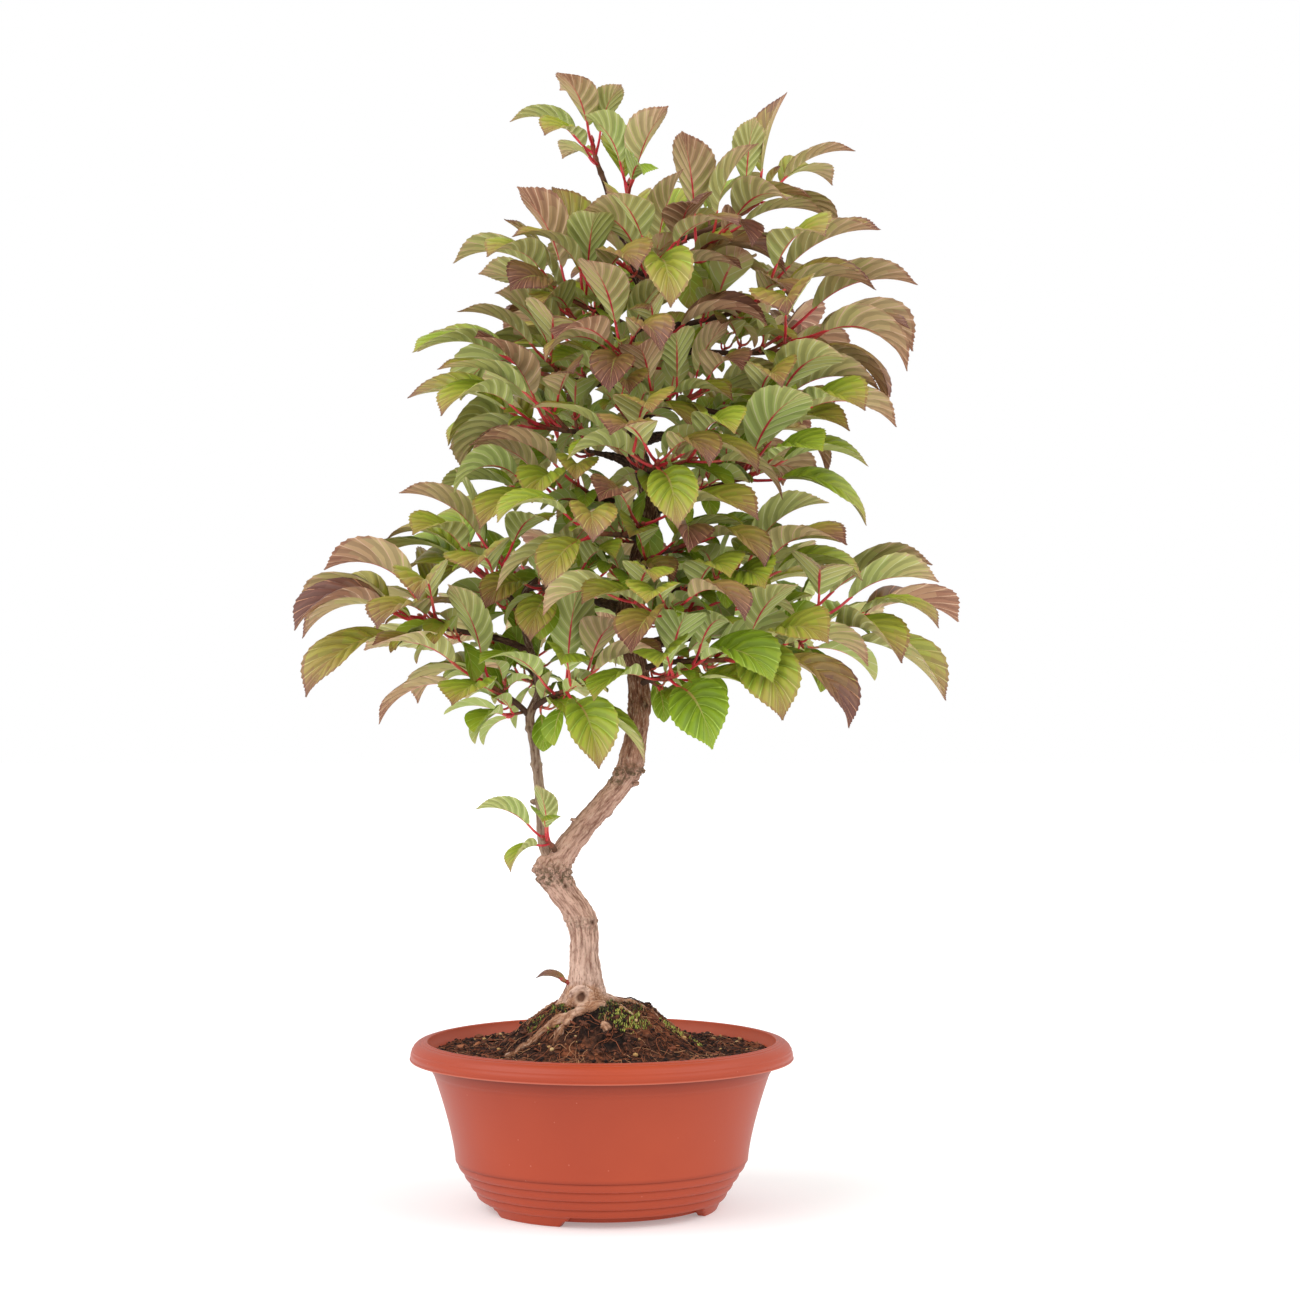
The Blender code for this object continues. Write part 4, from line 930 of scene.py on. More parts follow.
def shareUpTree(tree, height, patches, sway, low, high):
    # The share of the way up from low to high, swayed up and down in patches
    swayed = mathNode(tree, "MULTIPLY", mathNode(tree, "SUBTRACT", patches, 0.5), sway)
    return rangeNode(tree, mathNode(tree, "ADD", height, swayed), low * mm, high * mm)


def makeBarkFinish(name, limb, rings=(), marks=()):
    # Bark whose tone follows the height in the tree, with fibres along the limb
    material, tree, shader = newMaterial(name, bark["roughness"], bark["specular"])
    along = tree.nodes.new("ShaderNodeAttribute")
    along.attribute_name = "limb"
    fibres = placeGroup(tree, streaks, along.outputs["Vector"], **bark["fibres"])
    flakes = placeGroup(tree, streaks, along.outputs["Vector"], **bark["flakes"])
    place = addNode(tree, "ShaderNodeTexCoord").outputs["Object"]
    specks = placeGroup(tree, grain, place, Scale=600.0, Speck_Size=420.0)
    crumbs = placeGroup(tree, grain, place, Scale=430.0, Speck_Size=300.0)
    height = addNode(tree, "ShaderNodeSeparateXYZ", [("Vector", place)]).outputs["Z"]
    patches = noiseNode(tree, place, bark["patch"], 3.0)
    low, high = limb["tones"][0][0], limb["tones"][-1][0]
    share = shareUpTree(tree, height, patches, bark["patchSway"], low, high)
    tone = ramp(tree, share, [((h - low) / (high - low), tint) for h, tint in limb["tones"]])
    streak = ramp(tree, fibres.outputs["Wide"], [(0.34, bark["fibreShade"]), (0.54, (255, 255, 255))])
    tone = mixTint(tree, bark["fibreMix"], tone, streak, "MULTIPLY")
    pale = mathNode(tree, "GREATER_THAN", fibres.outputs["Fine"], 0.60)
    tone = mixTint(tree, mathNode(tree, "MULTIPLY", pale, bark["paleMix"]), tone, limb["lightTint"])
    # Short flakes, dark and light, over the fibres
    darkFlake = ramp(tree, flakes.outputs["Wide"], [(0.38, bark["flakeShade"]), (0.49, (255, 255, 255))])
    tone = mixTint(tree, bark["flakeMix"], tone, darkFlake, "MULTIPLY")
    lightFlake = rangeNode(tree, flakes.outputs["Wide"], 0.55, 0.62, 0.0, 0.5)
    tone = mixTint(tree, lightFlake, tone, limb["lightTint"])
    speckled = mathNode(tree, "MULTIPLY", specks.outputs["Specks"], bark["speckMix"])
    tone = mixTint(tree, speckled, tone, limb["speckTint"])
    if rings:
        # Grey-green crust on the rough rings
        level = shareUpTree(tree, height, crumbs.outputs["Grain"], bark["crustSway"], low, high)
        bands = []
        for ring, spread, rough in rings:
            for edge, shade in ((-1.3 * spread, 0), (0.0, min(255, round(bark["crust"] * rough))), (1.3 * spread, 0)):
                bands.append(((ring + edge - low) / (high - low), (shade,) * 3))
        crust = rangeNode(tree, crumbs.outputs["Grain"], 0.46, 0.54)
        mask = mathNode(tree, "MULTIPLY", ramp(tree, level, bands), crust)
        tone = mixTint(tree, mask, tone, bark["crustTint"])
    for centre, inner, outer, tint in marks:
        away = addNode(tree, "ShaderNodeVectorMath", [(0, place)], operation="DISTANCE")
        away.inputs[1].default_value = centre * mm
        fade = rangeNode(tree, away.outputs["Value"], inner * mm, outer * mm, 1.0, 0.0)
        tone = mixTint(tree, fade, tone, tint)
    tree.links.new(tone, shader.inputs["Base Color"])
    relief = mathNode(tree, "ADD", fibres.outputs["Fine"], mathNode(tree, "MULTIPLY", crumbs.outputs["Grain"], 0.7))
    relief = mathNode(tree, "ADD", relief, flakes.outputs["Wide"])
    bumpNode(tree, shader, relief, bark["bump"], bark["bumpDepth"])
    return material


def limbTubes(limb, radiusAt):
    # The limb itself and its stubs
    path = smoothPath(limb["path"], limb["fineSpacing"])
    return [(path, [radiusAt(p.z) for p in path], limb["sides"])] + [stubTube(*stub) for stub in limb["stubs"]]


def makeTrunk():
    tubes = limbTubes(trunk, trunkRadius)
    for places, first, last in roots["runs"]:
        tubes.append((*rootTube(places, first, last), roots["sides"]))
    mesh = barkMesh("trunkBark", tubes, trunk["voxel"], trunkRelief, addCutScar)
    marks = [(cutScar["heart"] + Vector(step), inner, outer, tint) for step, inner, outer, tint in cutScar["marks"]]
    marks += [(knot, 0.1 * size, 0.75 * size, trunk["knotTint"]) for knot, size in trunk["knots"]]
    mesh.materials.append(makeBarkFinish("trunkBarkFinish", trunk, trunk["rings"][:trunk["crusted"]], marks))
    addPiece("trunkBark", mesh, ("trunk",))


def makeStem():
    mesh = barkMesh("leftStemBark", limbTubes(stem, stemRadius), stem["voxel"], stemRelief)
    mesh.materials.append(makeBarkFinish("leftStemBarkFinish", stem))
    addPiece("leftStemBark", mesh, ("left_stem",))


makeTrunk()
makeStem()
print("trunk and stem made")


# Shoots: the rule that places every twig and leaf

crown = {
    "axis": 19.0, "middle": 400.0, "top": 550.0, "upperLift": 24.0, "sway": 14.0, "steepest": 84.0,
    "handle": 0.36, "gap": 0.3, "twigRings": 3, "twigRadii": (1.6, 1.3),
    "boughRadius": 2.9, "boughTip": 1.5, "boughToCarrier": 0.62,
    "sideStarts": (0.45, 0.62), "sideLengths": (17.0, 25.0), "sideForward": 0.75, "sideRises": (0.1, 0.5),
    "sideCurve": 2.0,
    "setbacks": (2.0, 8.0, 16.0), "openings": (34.0, 54.0, 70.0), "sideSetbacks": (2.0,), "sideOpenings": (48.0,),
    "smallLeaf": 45.0, "commonLeaf": 58.0, "leafSizes": (0.8, 1.08), "leafTurns": (-4.0, 20.0),
    "leafOpenings": (-8.0, 8.0), "outward": 0.25,
    "petioles": (8.8, 13.2), "petioleRadius": 0.7, "rootOffset": 0.35, "halfWidths": (0.2475, 0.3025),
    "thickness": 0.018, "folds": (24.0, 44.0), "bends": (36.4, 67.6), "rolls": (-26.0, 26.0),
    "steepestLeaf": 80.0, "droop": 1.14, "leafRows": ((0.36, 0.92), (0.72, 0.84)),
    "tries": (0.0, 16.0, -16.0, 32.0, -32.0, 50.0, -50.0, 70.0, -70.0), "clear": 0.35,
    # name, carrier, start height, tip height, turn, reach, bough share, pairs, side twigs, leaf length
    "shoots": (
        ("base_shoot", "trunk", 111, 118, 186, 38, 0.0, 1, 0, 17),
        ("fork_shoot", "trunk", 181, 193, 196, 50, 0.0, 2, 0, 33),
        ("stem_low_left", "left_stem", 256, 276, 188, 84, 0.0, 3, 0, 62),
        ("stem_low_right", "left_stem", 260, 273, 222, 44, 0.0, 3, 1, 58),
        ("stem_back", "left_stem", 270, 290, 148, 76, 0.0, 3, 1, 54),
        ("left_low", "left_stem", 290, 306, 184, 117, 0.4, 3, 2, 64),
        ("stem_mid", "left_stem", 309, 333, 191, 85, 0.0, 3, 2, 60),
        ("stem_top", "left_stem", 323, 322, 214, 46, 0.0, 3, 1, 46),
        ("front_bottom", "trunk", 272, 278, 296, 44, 0.0, 3, 1, 60),
        ("right_bottom", "trunk", 280, 288, 334, 66, 0.0, 3, 1, 60),
        ("front_low", "trunk", 300, 311, 285, 64, 0.0, 3, 2, 54),
        ("right_lowest", "trunk", 291, 303, 3, 106, 0.5, 3, 2, 66),
        ("back_low_left", "trunk", 311, 320, 122, 88, 0.4, 3, 2, 60),
        ("back_low_right", "trunk", 304, 316, 57, 94, 0.4, 3, 2, 60),
        ("front_inner_low", "trunk", 324, 334, 246, 32, 0.0, 3, 1, 52),
        ("right_low", "trunk", 316, 326, 338, 62, 0.4, 3, 1, 60),
        ("front_left", "trunk", 346, 352, 246, 64, 0.0, 3, 1, 56),
        ("back_mid", "trunk", 352, 366, 90, 90, 0.45, 3, 2, 60),
        ("right_inner_low", "trunk", 336, 346, 305, 46, 0.0, 3, 1, 54),
        ("right_mid_low", "trunk", 362, 382, 340, 64, 0.4, 3, 1, 62),
        ("left_mid_low", "trunk", 366, 372, 188, 52, 0.0, 3, 1, 56),
        ("front_mid", "trunk", 380, 386, 280, 58, 0.0, 3, 2, 58),
        ("back_mid_left", "trunk", 384, 404, 126, 78, 0.4, 3, 2, 58),
        ("left_mid", "trunk", 397, 408, 200, 57, 0.4, 3, 1, 60),
        ("back_mid_right", "trunk", 399, 408, 50, 84, 0.4, 3, 2, 60),
        ("right_inner_mid", "trunk", 408, 424, 318, 44, 0.0, 3, 1, 46),
        ("front_inner_mid", "trunk", 400, 416, 252, 34, 0.0, 3, 1, 48),
        ("right_mid", "trunk", 418, 411, 338, 80, 0.4, 3, 1, 60),
        ("left_upper_mid", "trunk", 424, 437, 188, 56, 0.4, 3, 1, 58),
        ("front_upper", "trunk", 437, 442, 262, 54, 0.0, 3, 1, 52),
        ("back_upper_left", "trunk", 432, 456, 118, 62, 0.0, 3, 2, 58),
        ("right_upper_mid", "trunk", 444, 450, 357, 84, 0.45, 3, 2, 64),
        ("back_upper_right", "trunk", 441, 462, 54, 66, 0.0, 3, 1, 58),
        ("left_top", "trunk", 450, 464, 164, 42, 0.0, 3, 1, 54),
        ("upper_right", "trunk", 452, 473, 342, 68, 0.4, 3, 1, 60),
        ("upper_left", "trunk", 456, 477, 200, 44, 0.0, 3, 1, 58),
        ("top_front", "trunk", 470, 491, 284, 36, 0.0, 3, 1, 54),
        ("top_back", "trunk", 474, 500, 84, 40, 0.0, 3, 1, 54),
        ("top_right", "trunk", 486, 506, 336, 48, 0.0, 3, 1, 54),
        ("apex_right", "trunk", 490, 532, 10, 69, 0.0, 3, 0, 50),
        ("apex_front", "trunk", 504, 532, 250, 14, 0.0, 2, 0, 42),
        ("apex_left", "trunk", 522, 556, 186, 24, 0.0, 3, 0, 42),
    ),
}
paths = {"trunk": trunkPath, "left_stem": stemPath}


def heading(turn, rise):
    turn, rise = math.radians(turn), math.radians(rise)
    return Vector((math.cos(turn) * math.cos(rise), math.sin(turn) * math.cos(rise), math.sin(rise)))


def bezier(start, end, leave, arrive, share):
    # A place on the curve that leaves one end and arrives at the other in the given directions
    reach = (end - start).length * crown["handle"]
    points = (start, start + leave * reach, end - arrive * reach, end)
    rest = 1.0 - share
    weights = (rest ** 3, 3 * rest * rest * share, 3 * rest * share * share, share ** 3)
    return sum((p * w for p, w in zip(points, weights)), Vector())


def plainTube(points, radii):
    # The four-sided twig that other growth keeps clear of
    verts = []
    for index, (point, radius) in enumerate(zip(points, radii)):
        along = (points[min(index + 1, len(points) - 1)] - points[max(index - 1, 0)]).normalized()
        side = along.cross(up if abs(along.z) < 0.9 else Vector((1.0, 0.0, 0.0))).normalized()
        over = side.cross(along)
        for corner in range(4):
            angle = math.radians(corner * 90.0 + 45.0)
            verts.append(point + (side * math.cos(angle) + over * math.sin(angle)) * radius)
    faces = [(3, 2, 1, 0)]
    for ring in range(len(points) - 1):
        for corner in range(4):
            a, b = 4 * ring + corner, 4 * ring + (corner + 1) % 4
            faces.append((a, b, b + 4, a + 4))
    last = 4 * (len(points) - 1)
    faces.append((last, last + 1, last + 2, last + 3))
    return verts, faces


def leafPose(root, along, length, draw):
    # Everything that sets one leaf: where its blade starts, which way it runs and how it is bent
    flat = Vector((along.x, along.y, 0.0))
    flat = flat.normalized() if flat.length > 0.05 else Vector((1.0, 0.0, 0.0))
    pitch = math.asin(max(-1.0, min(1.0, along.z)))
    bend = math.radians(between(crown["bends"], draw["bend"])) * (0.25 + 0.75 * math.cos(pitch))
    return {
        "root": root, "flat": flat, "length": length, "bend": bend,
        "first": min(pitch + 0.3 * bend, math.radians(crown["steepestLeaf"])),
        "petiole": between(crown["petioles"], draw["petiole"]) * length / crown["commonLeaf"],
        "roll": math.radians(between(crown["rolls"], draw["roll"])),
        "fold": math.radians(between(crown["folds"], draw["fold"])),
        "halfWidth": length * between(crown["halfWidths"], draw["width"]),
    }


def leafFrame(pose, angle):
    # Along the leaf, across it and out of its face, where it climbs at this angle
    tangent = pose["flat"] * math.cos(angle) + up * math.sin(angle)
    level = tangent.cross(up).normalized()
    upper = level.cross(tangent)
    side = level * math.cos(pose["roll"]) + upper * math.sin(pose["roll"])
    return tangent, side, side.cross(tangent)


def plainLeaf(pose, margin):
    # The plain leaf of a few faces by which each leaf's place is tested
    verts = []
    place = pose["root"].copy()
    radius = crown["petioleRadius"]
    for size, run in ((radius, pose["petiole"]), (radius * 0.85, 0.0)):
        tangent, side, upper = leafFrame(pose, pose["first"])
        for angle in (150.0, 30.0, 270.0):
            turn = math.radians(angle)
            verts.append(place + (side * -math.cos(turn) + upper * math.sin(turn)) * (size + margin))
        place = place + tangent * run
    thick = pose["length"] * crown["thickness"] + margin
    previous = 0.0
    for share, width in (*crown["leafRows"], (1.0, 0.0)):
        middle = 0.5 * (previous + share)
        step = leafFrame(pose, pose["first"] - pose["bend"] * middle * crown["droop"])[0]
        place = place + step * (pose["length"] * (share - previous))
        previous = share
        tangent, side, upper = leafFrame(pose, pose["first"] - pose["bend"] * share * crown["droop"])
        if width == 0.0:
            verts.append(place + tangent * margin)
            break
        spread = side * math.cos(pose["fold"]) * (pose["halfWidth"] * width + margin)
        lift = upper * math.sin(pose["fold"]) * (pose["halfWidth"] * width)
        verts += [place + spread + lift, place, place - spread + lift, place - upper * thick]
    faces = [(2, 1, 0), (0, 1, 4, 3), (1, 2, 5, 4), (2, 0, 3, 5)]
    faces += [(3, 4, 7), (3, 7, 6), (4, 8, 7), (4, 5, 9, 8), (5, 3, 6, 9)]
    for corner in range(4):
        a, b = 6 + corner, 6 + (corner + 1) % 4
        faces.append((a, b, b + 4, a + 4))
        faces.append((a + 4, b + 4, 14))
    return verts, faces


def leafDraws(name, node, side):
    # The leaf's own share, from 0 to 1, of each trait's range
    source = random.Random(f"{name} {node} {side}")
    traits = ("petiole", "bend", "roll", "fold", "width", "turn", "open", "size")
    return {trait: source.random() for trait in traits}


class Clearance:
    # What has grown so far, so that no leaf is put through a limb, another shoot or its own blades
    def __init__(self):
        self.solids = []
        self.blades = []

    @staticmethod
    def measure(verts, faces):
        low = Vector([min(v[axis] for v in verts) for axis in range(3)])
        high = Vector([max(v[axis] for v in verts) for axis in range(3)])
        return low, high, BVHTree.FromPolygons(verts, faces)

    @staticmethod
    def overlaps(first, second):
        low, high, tree = first
        otherLow, otherHigh, otherTree = second
        if any(low[i] > otherHigh[i] or high[i] < otherLow[i] for i in range(3)):
            return False
        return bool(tree.overlap(otherTree))

    def add(self, owner, verts, faces):
        self.solids.append((owner, self.measure(verts, faces)))

    def addBlade(self, owner, verts, faces):
        self.blades.append((owner, self.measure(verts, faces)))

    def meetsOthers(self, owner, verts, faces):
        shape = self.measure(verts, faces)
        return any(other != owner and self.overlaps(shape, solid) for other, solid in self.solids)

    def meetsOwnBlades(self, owner, verts, faces):
        shape = self.measure(verts, faces)
        return any(other == owner and self.overlaps(shape, blade) for other, blade in self.blades)


class Shoot:
    # One mass of foliage: its stem, its side twigs and its leaves
    def __init__(self, row):
        (self.name, self.carrier, start, tip, turn, reach, self.boughShare,
         self.pairs, self.sideCount, self.leaf) = row
        source = random.Random(self.name)
        out = math.radians(turn)
        self.tip = Vector((crown["axis"] + reach * math.cos(out), reach * math.sin(out), tip))
        self.start = pointAt(paths[self.carrier], start)
        run = self.tip - self.start
        way = math.degrees(math.atan2(run.y, run.x))
        rise = math.degrees(math.atan2(run.z, math.hypot(run.x, run.y)))
        self.leave = heading(way + source.uniform(-crown["sway"], crown["sway"]), rise + crown["sway"])
        lift = crown["upperLift"] * max(0.0, (tip - crown["middle"]) / (crown["top"] - crown["middle"]))
        self.arrive = heading(way + source.uniform(-crown["sway"], crown["sway"]),
                              min(crown["steepest"], max(rise * 0.6 + 8.0, rise - 10.0) + lift))
        self.twigs = []
        self.spurs = []
        self.leaves = []

    def point(self, share):
        return bezier(self.start, self.tip, self.leave, self.arrive, share)

    def stemRun(self):
        start = self.boughShare
        if start:
            start += crown["gap"] / (self.tip - self.start).length
        shares = [step / crown["twigRings"] for step in range(crown["twigRings"] + 1)]
        points = [self.point(start + (1.0 - start) * share) for share in shares]
        return points, [between(crown["twigRadii"], share) for share in shares]


def runLength(points):
    return sum((b - a).length for a, b in zip(points, points[1:]))


def alongRun(points, setback):
    # The place this far back from the end of a run, and the run's direction there
    left = setback
    for end, start in zip(reversed(points), reversed(points[:-1])):
        piece = (end - start).length
        if left <= piece:
            return end.lerp(start, left / piece), (end - start).normalized()
        left -= piece
    return points[0].copy(), (points[1] - points[0]).normalized()


def growSideTwigs(shoot, clearance):
    points, _ = shoot.stemRun()
    for number in range(shoot.sideCount):
        source = random.Random(f"{shoot.name} twig {number}")
        root, direction = alongRun(points, runLength(points) * (1.0 - crown["sideStarts"][number]))
        sideways = direction.cross(up).normalized() * (1.0 if number % 2 else -1.0)
        away = direction * crown["sideForward"] + sideways + up * source.uniform(*crown["sideRises"])
        away = away.normalized() * source.uniform(*crown["sideLengths"])
        run = [root + away * share + up * (crown["sideCurve"] * share ** 2) for share in (0.0, 0.5, 1.0)]
        first, last = crown["twigRadii"]
        solid = plainTube(run, [first * 0.85, last, last * 0.9])
        if not clearance.meetsOthers(shoot.name, *solid):
            shoot.twigs.append(run)
            clearance.add(shoot.name, *solid)


def leafSites(shoot):
    # Where the pairs of leaves stand, each pair a quarter turn from the one before
    runs = [("stem", shoot.stemRun()[0], crown["setbacks"][:shoot.pairs], crown["openings"])]
    for number, run in enumerate(shoot.twigs):
        runs.append((f"twig {number}", run, crown["sideSetbacks"], crown["sideOpenings"]))
    for label, run, setbacks, openings in runs:
        scale = shoot.leaf / crown["commonLeaf"] if shoot.leaf < crown["smallLeaf"] else 1.0
        for tier, (setback, opening) in enumerate(zip(setbacks, openings)):
            root, axis = alongRun(run, setback * scale)
            for side in (0, 1):
                yield tier, label, root, axis, opening, 90.0 * tier + 180.0 * side


def growLeaf(shoot, site, length, clearance, kind):
    # Tries the leaf at its place and turned a little either way, until it is clear of the others
    tier, label, root, axis, opening, turn = site
    draw = leafDraws(shoot.name + label, tier, turn)
    level = axis.cross(up)
    level = level.normalized() if level.length > 0.05 else Vector((1.0, 0.0, 0.0))
    over = level.cross(axis)
    startTurn = between(crown["leafTurns"], draw["turn"])
    opening = math.radians(opening + between(crown["leafOpenings"], draw["open"]))
    length = length * between(crown["leafSizes"], draw["size"])
    for extra in crown["tries"]:
        angle = math.radians(turn + startTurn + extra)
        around = level * math.cos(angle) + over * math.sin(angle)
        along = axis * math.cos(opening) + around * math.sin(opening)
        outward = Vector((root.x - crown["axis"], root.y, 0.0))
        if outward.length > 1.0:
            along += outward.normalized() * crown["outward"]
        along.z = along.z * (0.7 + 0.4 * max(0.0, axis.z)) + 0.06
        along.normalize()
        pose = leafPose(root + around * crown["rootOffset"], along, length, draw)
        wide = plainLeaf(pose, crown["clear"])
        if clearance.meetsOthers(shoot.name, *wide):
            continue
        bladeVerts = wide[0][3:]
        bladeFaces = [tuple(i - 3 for i in face) for face in wide[1] if min(face) >= 3]
        if clearance.meetsOwnBlades(shoot.name, bladeVerts, bladeFaces):
            continue
        clearance.add(shoot.name, *plainLeaf(pose, 0.0))
        clearance.addBlade(shoot.name, bladeVerts, bladeFaces)
        pose.update(kind=kind, shoot=shoot, seed=f"{shoot.name} {label} {tier} {turn}")
        shoot.leaves.append(pose)
        return


def growCrown():
    shoots = [Shoot(row) for row in crown["shoots"]]
    clearance = Clearance()
    for name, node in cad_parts.items():
        if name in ("soil", "trunk", "left_stem") or name.startswith("bough_"):
            verts = [v.co / mm for v in node.data.vertices]
            clearance.add(name, verts, [tuple(p.vertices) for p in node.data.polygons])
    for shoot in shoots:
        clearance.add(shoot.name, *plainTube(*shoot.stemRun()))
    for shoot in shoots:
        growSideTwigs(shoot, clearance)
    sites = [(site, shoot) for shoot in shoots for site in leafSites(shoot)]
    sites.sort(key=lambda pair: pair[0][0])
    for site, shoot in sites:
        growLeaf(shoot, site, shoot.leaf, clearance, "full")
    for shoot in shoots:
        if shoot.name == "base_shoot":
            # Only one leaf of the pair at the trunk's foot has opened
            shoot.leaves = shoot.leaves[:1]
    print("leaves of the solids:", sum(len(shoot.leaves) for shoot in shoots))
    growFiner(shoots, clearance)
    for shoot in shoots:
        for leaf in shoot.leaves:
            if leaf["kind"] == "full":
                # The stalk takes up a share of the blade, whose tip stays in its place
                drawn = leaf["length"] * finer["stalkShare"]
                if shoot.name == "base_shoot":
                    drawn = -finer["footStalk"] * leaf["petiole"]
                    leaf["halfWidth"] *= finer["footWider"]
                leaf["petiole"] += drawn
                leaf["length"] -= drawn
    return shoots


# Finer growth inside the same reach: spurs with small leaves, and the young pair at each tip

finer = {
    # Spurs along each foliage stem: where they start, how long they are and how they lean
    "spurStarts": (0.12, 0.30, 0.55), "spurLengths": (5.0, 11.0), "spurForward": 0.4, "spurRise": 0.2,
    "spurRadii": (0.9, 0.8, 0.7), "spurLeaf": (24.0, 36.0),
    # Each spur's two pairs: how far back from its tip, and how wide they open. The second pair is smaller
    "spurPairs": ((0.5, 42.0), (3.0, 66.0)), "secondSmaller": 0.25,
    "youngLeaf": (11.0, 18.0), "youngOpening": 20.0,
    # Spurs that stand on the trunk itself, a steady turn apart
    "trunkSpurs": 34, "trunkHeights": (268.0, 500.0), "trunkTurn": 137.5, "trunkSway": 0.3,
    "trunkRises": (0.2, 0.6), "trunkLengths": (9.0, 15.0), "trunkLeaf": (20.0, 34.0),
    # The share of a full leaf's blade that its stalk takes up, and the leaf at the trunk's foot
    "stalkShare": 0.12, "footStalk": 0.7, "footWider": 1.3,
}


def growSpur(shoot, label, root, direction, length, leaf, clearance):
    run = [root, root + direction * (length * 0.5), root + direction * length + up * 0.6]
    solid = plainTube(run, finer["spurRadii"])
    if clearance.meetsOthers(shoot.name, *solid):
        return
    clearance.add(shoot.name, *solid)
    shoot.spurs.append(run)
    axis = (run[2] - run[1]).normalized()
    for tier, (setback, opening) in enumerate(finer["spurPairs"]):
        base, _ = alongRun(run, setback)
        size = leaf * (1.0 - finer["secondSmaller"] * tier)
        for side in (0, 1):
            site = (tier, label, base, axis, opening, 90.0 * tier + 180.0 * side)
            growLeaf(shoot, site, size, clearance, "small")


def growFiner(shoots, clearance):
    for shoot in shoots:
        if shoot.leaf < crown["smallLeaf"]:
            continue
        points, _ = shoot.stemRun()
        source = random.Random(shoot.name + " spurs")
        for number, start in enumerate(finer["spurStarts"]):
            root, direction = alongRun(points, runLength(points) * (1.0 - start))
            turn = source.uniform(0.0, 2.0 * math.pi)
            level = direction.cross(up).normalized()
            around = level * math.cos(turn) + level.cross(direction) * math.sin(turn)
            away = (direction * finer["spurForward"] + around + up * finer["spurRise"]).normalized()
            growSpur(shoot, f"spur {number}", root, away, source.uniform(*finer["spurLengths"]),
                     source.uniform(*finer["spurLeaf"]), clearance)
        for side in (0, 1):
            site = (0, "young", shoot.tip, shoot.arrive.normalized(), finer["youngOpening"], 90.0 + 180.0 * side)
            growLeaf(shoot, site, source.uniform(*finer["youngLeaf"]), clearance, "small")
    source = random.Random("trunk spurs")
    for number in range(finer["trunkSpurs"]):
        height = between(finer["trunkHeights"], (number + source.random()) / finer["trunkSpurs"])
        root = pointAt(trunkPath, height)
        turn = number * math.radians(finer["trunkTurn"]) + source.uniform(-finer["trunkSway"], finer["trunkSway"])
        away = Vector((math.cos(turn), math.sin(turn), source.uniform(*finer["trunkRises"]))).normalized()
        root += away * trunkRadius(height) * 0.5
        owner = min(shoots, key=lambda shoot: (shoot.start - root).length)
        growSpur(owner, f"trunk spur {number}", root, away, source.uniform(*finer["trunkLengths"]),
                 source.uniform(*finer["trunkLeaf"]), clearance)


shoots = growCrown()
print("leaves in all:", sum(len(shoot.leaves) for shoot in shoots))


# Boughs, twigs, buds and leaf stalks

boughLook = {
    "steps": 18, "sides": 12, "voxel": 0.5, "thicker": 1.18,
    # How much each bough swells at its foot and at its old leaf nodes
    "footSwell": 1.3, "nodeSwell": 0.25,
    "fibres": (0.16, 0.12, 0.14), "lumps": ((2.6, 0.55), (1.2, 0.2)),
    "tones": ((260, (104, 74, 58)), (340, (74, 52, 42)), (500, (56, 40, 33))),
    "speckTint": (34, 24, 20), "lightTint": (130, 100, 80),
}
twigLook = {
    # From the oldest bark to the red tip of a twig
    "tints": ((58, 40, 34), (82, 58, 46), (108, 76, 58), (138, 84, 64), (160, 70, 60)),
    "buds": ((150, 96, 60), (176, 70, 64)),
    # The foliage stem: its radius where no bough carries it and at its tip, and its swellings at the leaves
    "stemSteps": 22, "stemSides": 8, "stemRadius": 1.75, "stemTip": 1.0, "nodeSwell": 0.4, "nodeWidth": 1.2,
    # Side twigs, spurs and buds: radii along them, and the tint of each length
    "sideRadius": 1.25, "sideTaper": 0.45, "sideSlots": (2, 2, 3, 3, 3, 3, 4, 4, 4),
    "spurRadii": (1.0, 0.9, 0.8, 0.75, 0.7), "spurSlots": (1, 2, 3, 3, 4),
    "budPlaces": (-0.5, 1.0, 2.4, 3.6, 4.4), "budRadii": (0.8, 1.25, 1.1, 0.6, 0.1), "budSlots": (0, 0, 0, 1, 1),
}
stalkLook = {
    # From red at the leaf's root to pale, and how many leaves have the reddest stalks
    "tints": ((214, 50, 66), (222, 66, 74), (224, 98, 88), (202, 136, 102)), "redShare": 0.55, "smallShare": 0.5,
    "places": (-0.06, 0.12, 0.4, 0.7, 1.0, 1.12), "radii": (1.2, 0.98, 0.84, 0.78, 0.76, 0.5), "sides": 6,
    "sag": 0.9, "sink": 0.25,
}


def boughRelief(place, point):
    return barkRelief(place, point, boughLook)


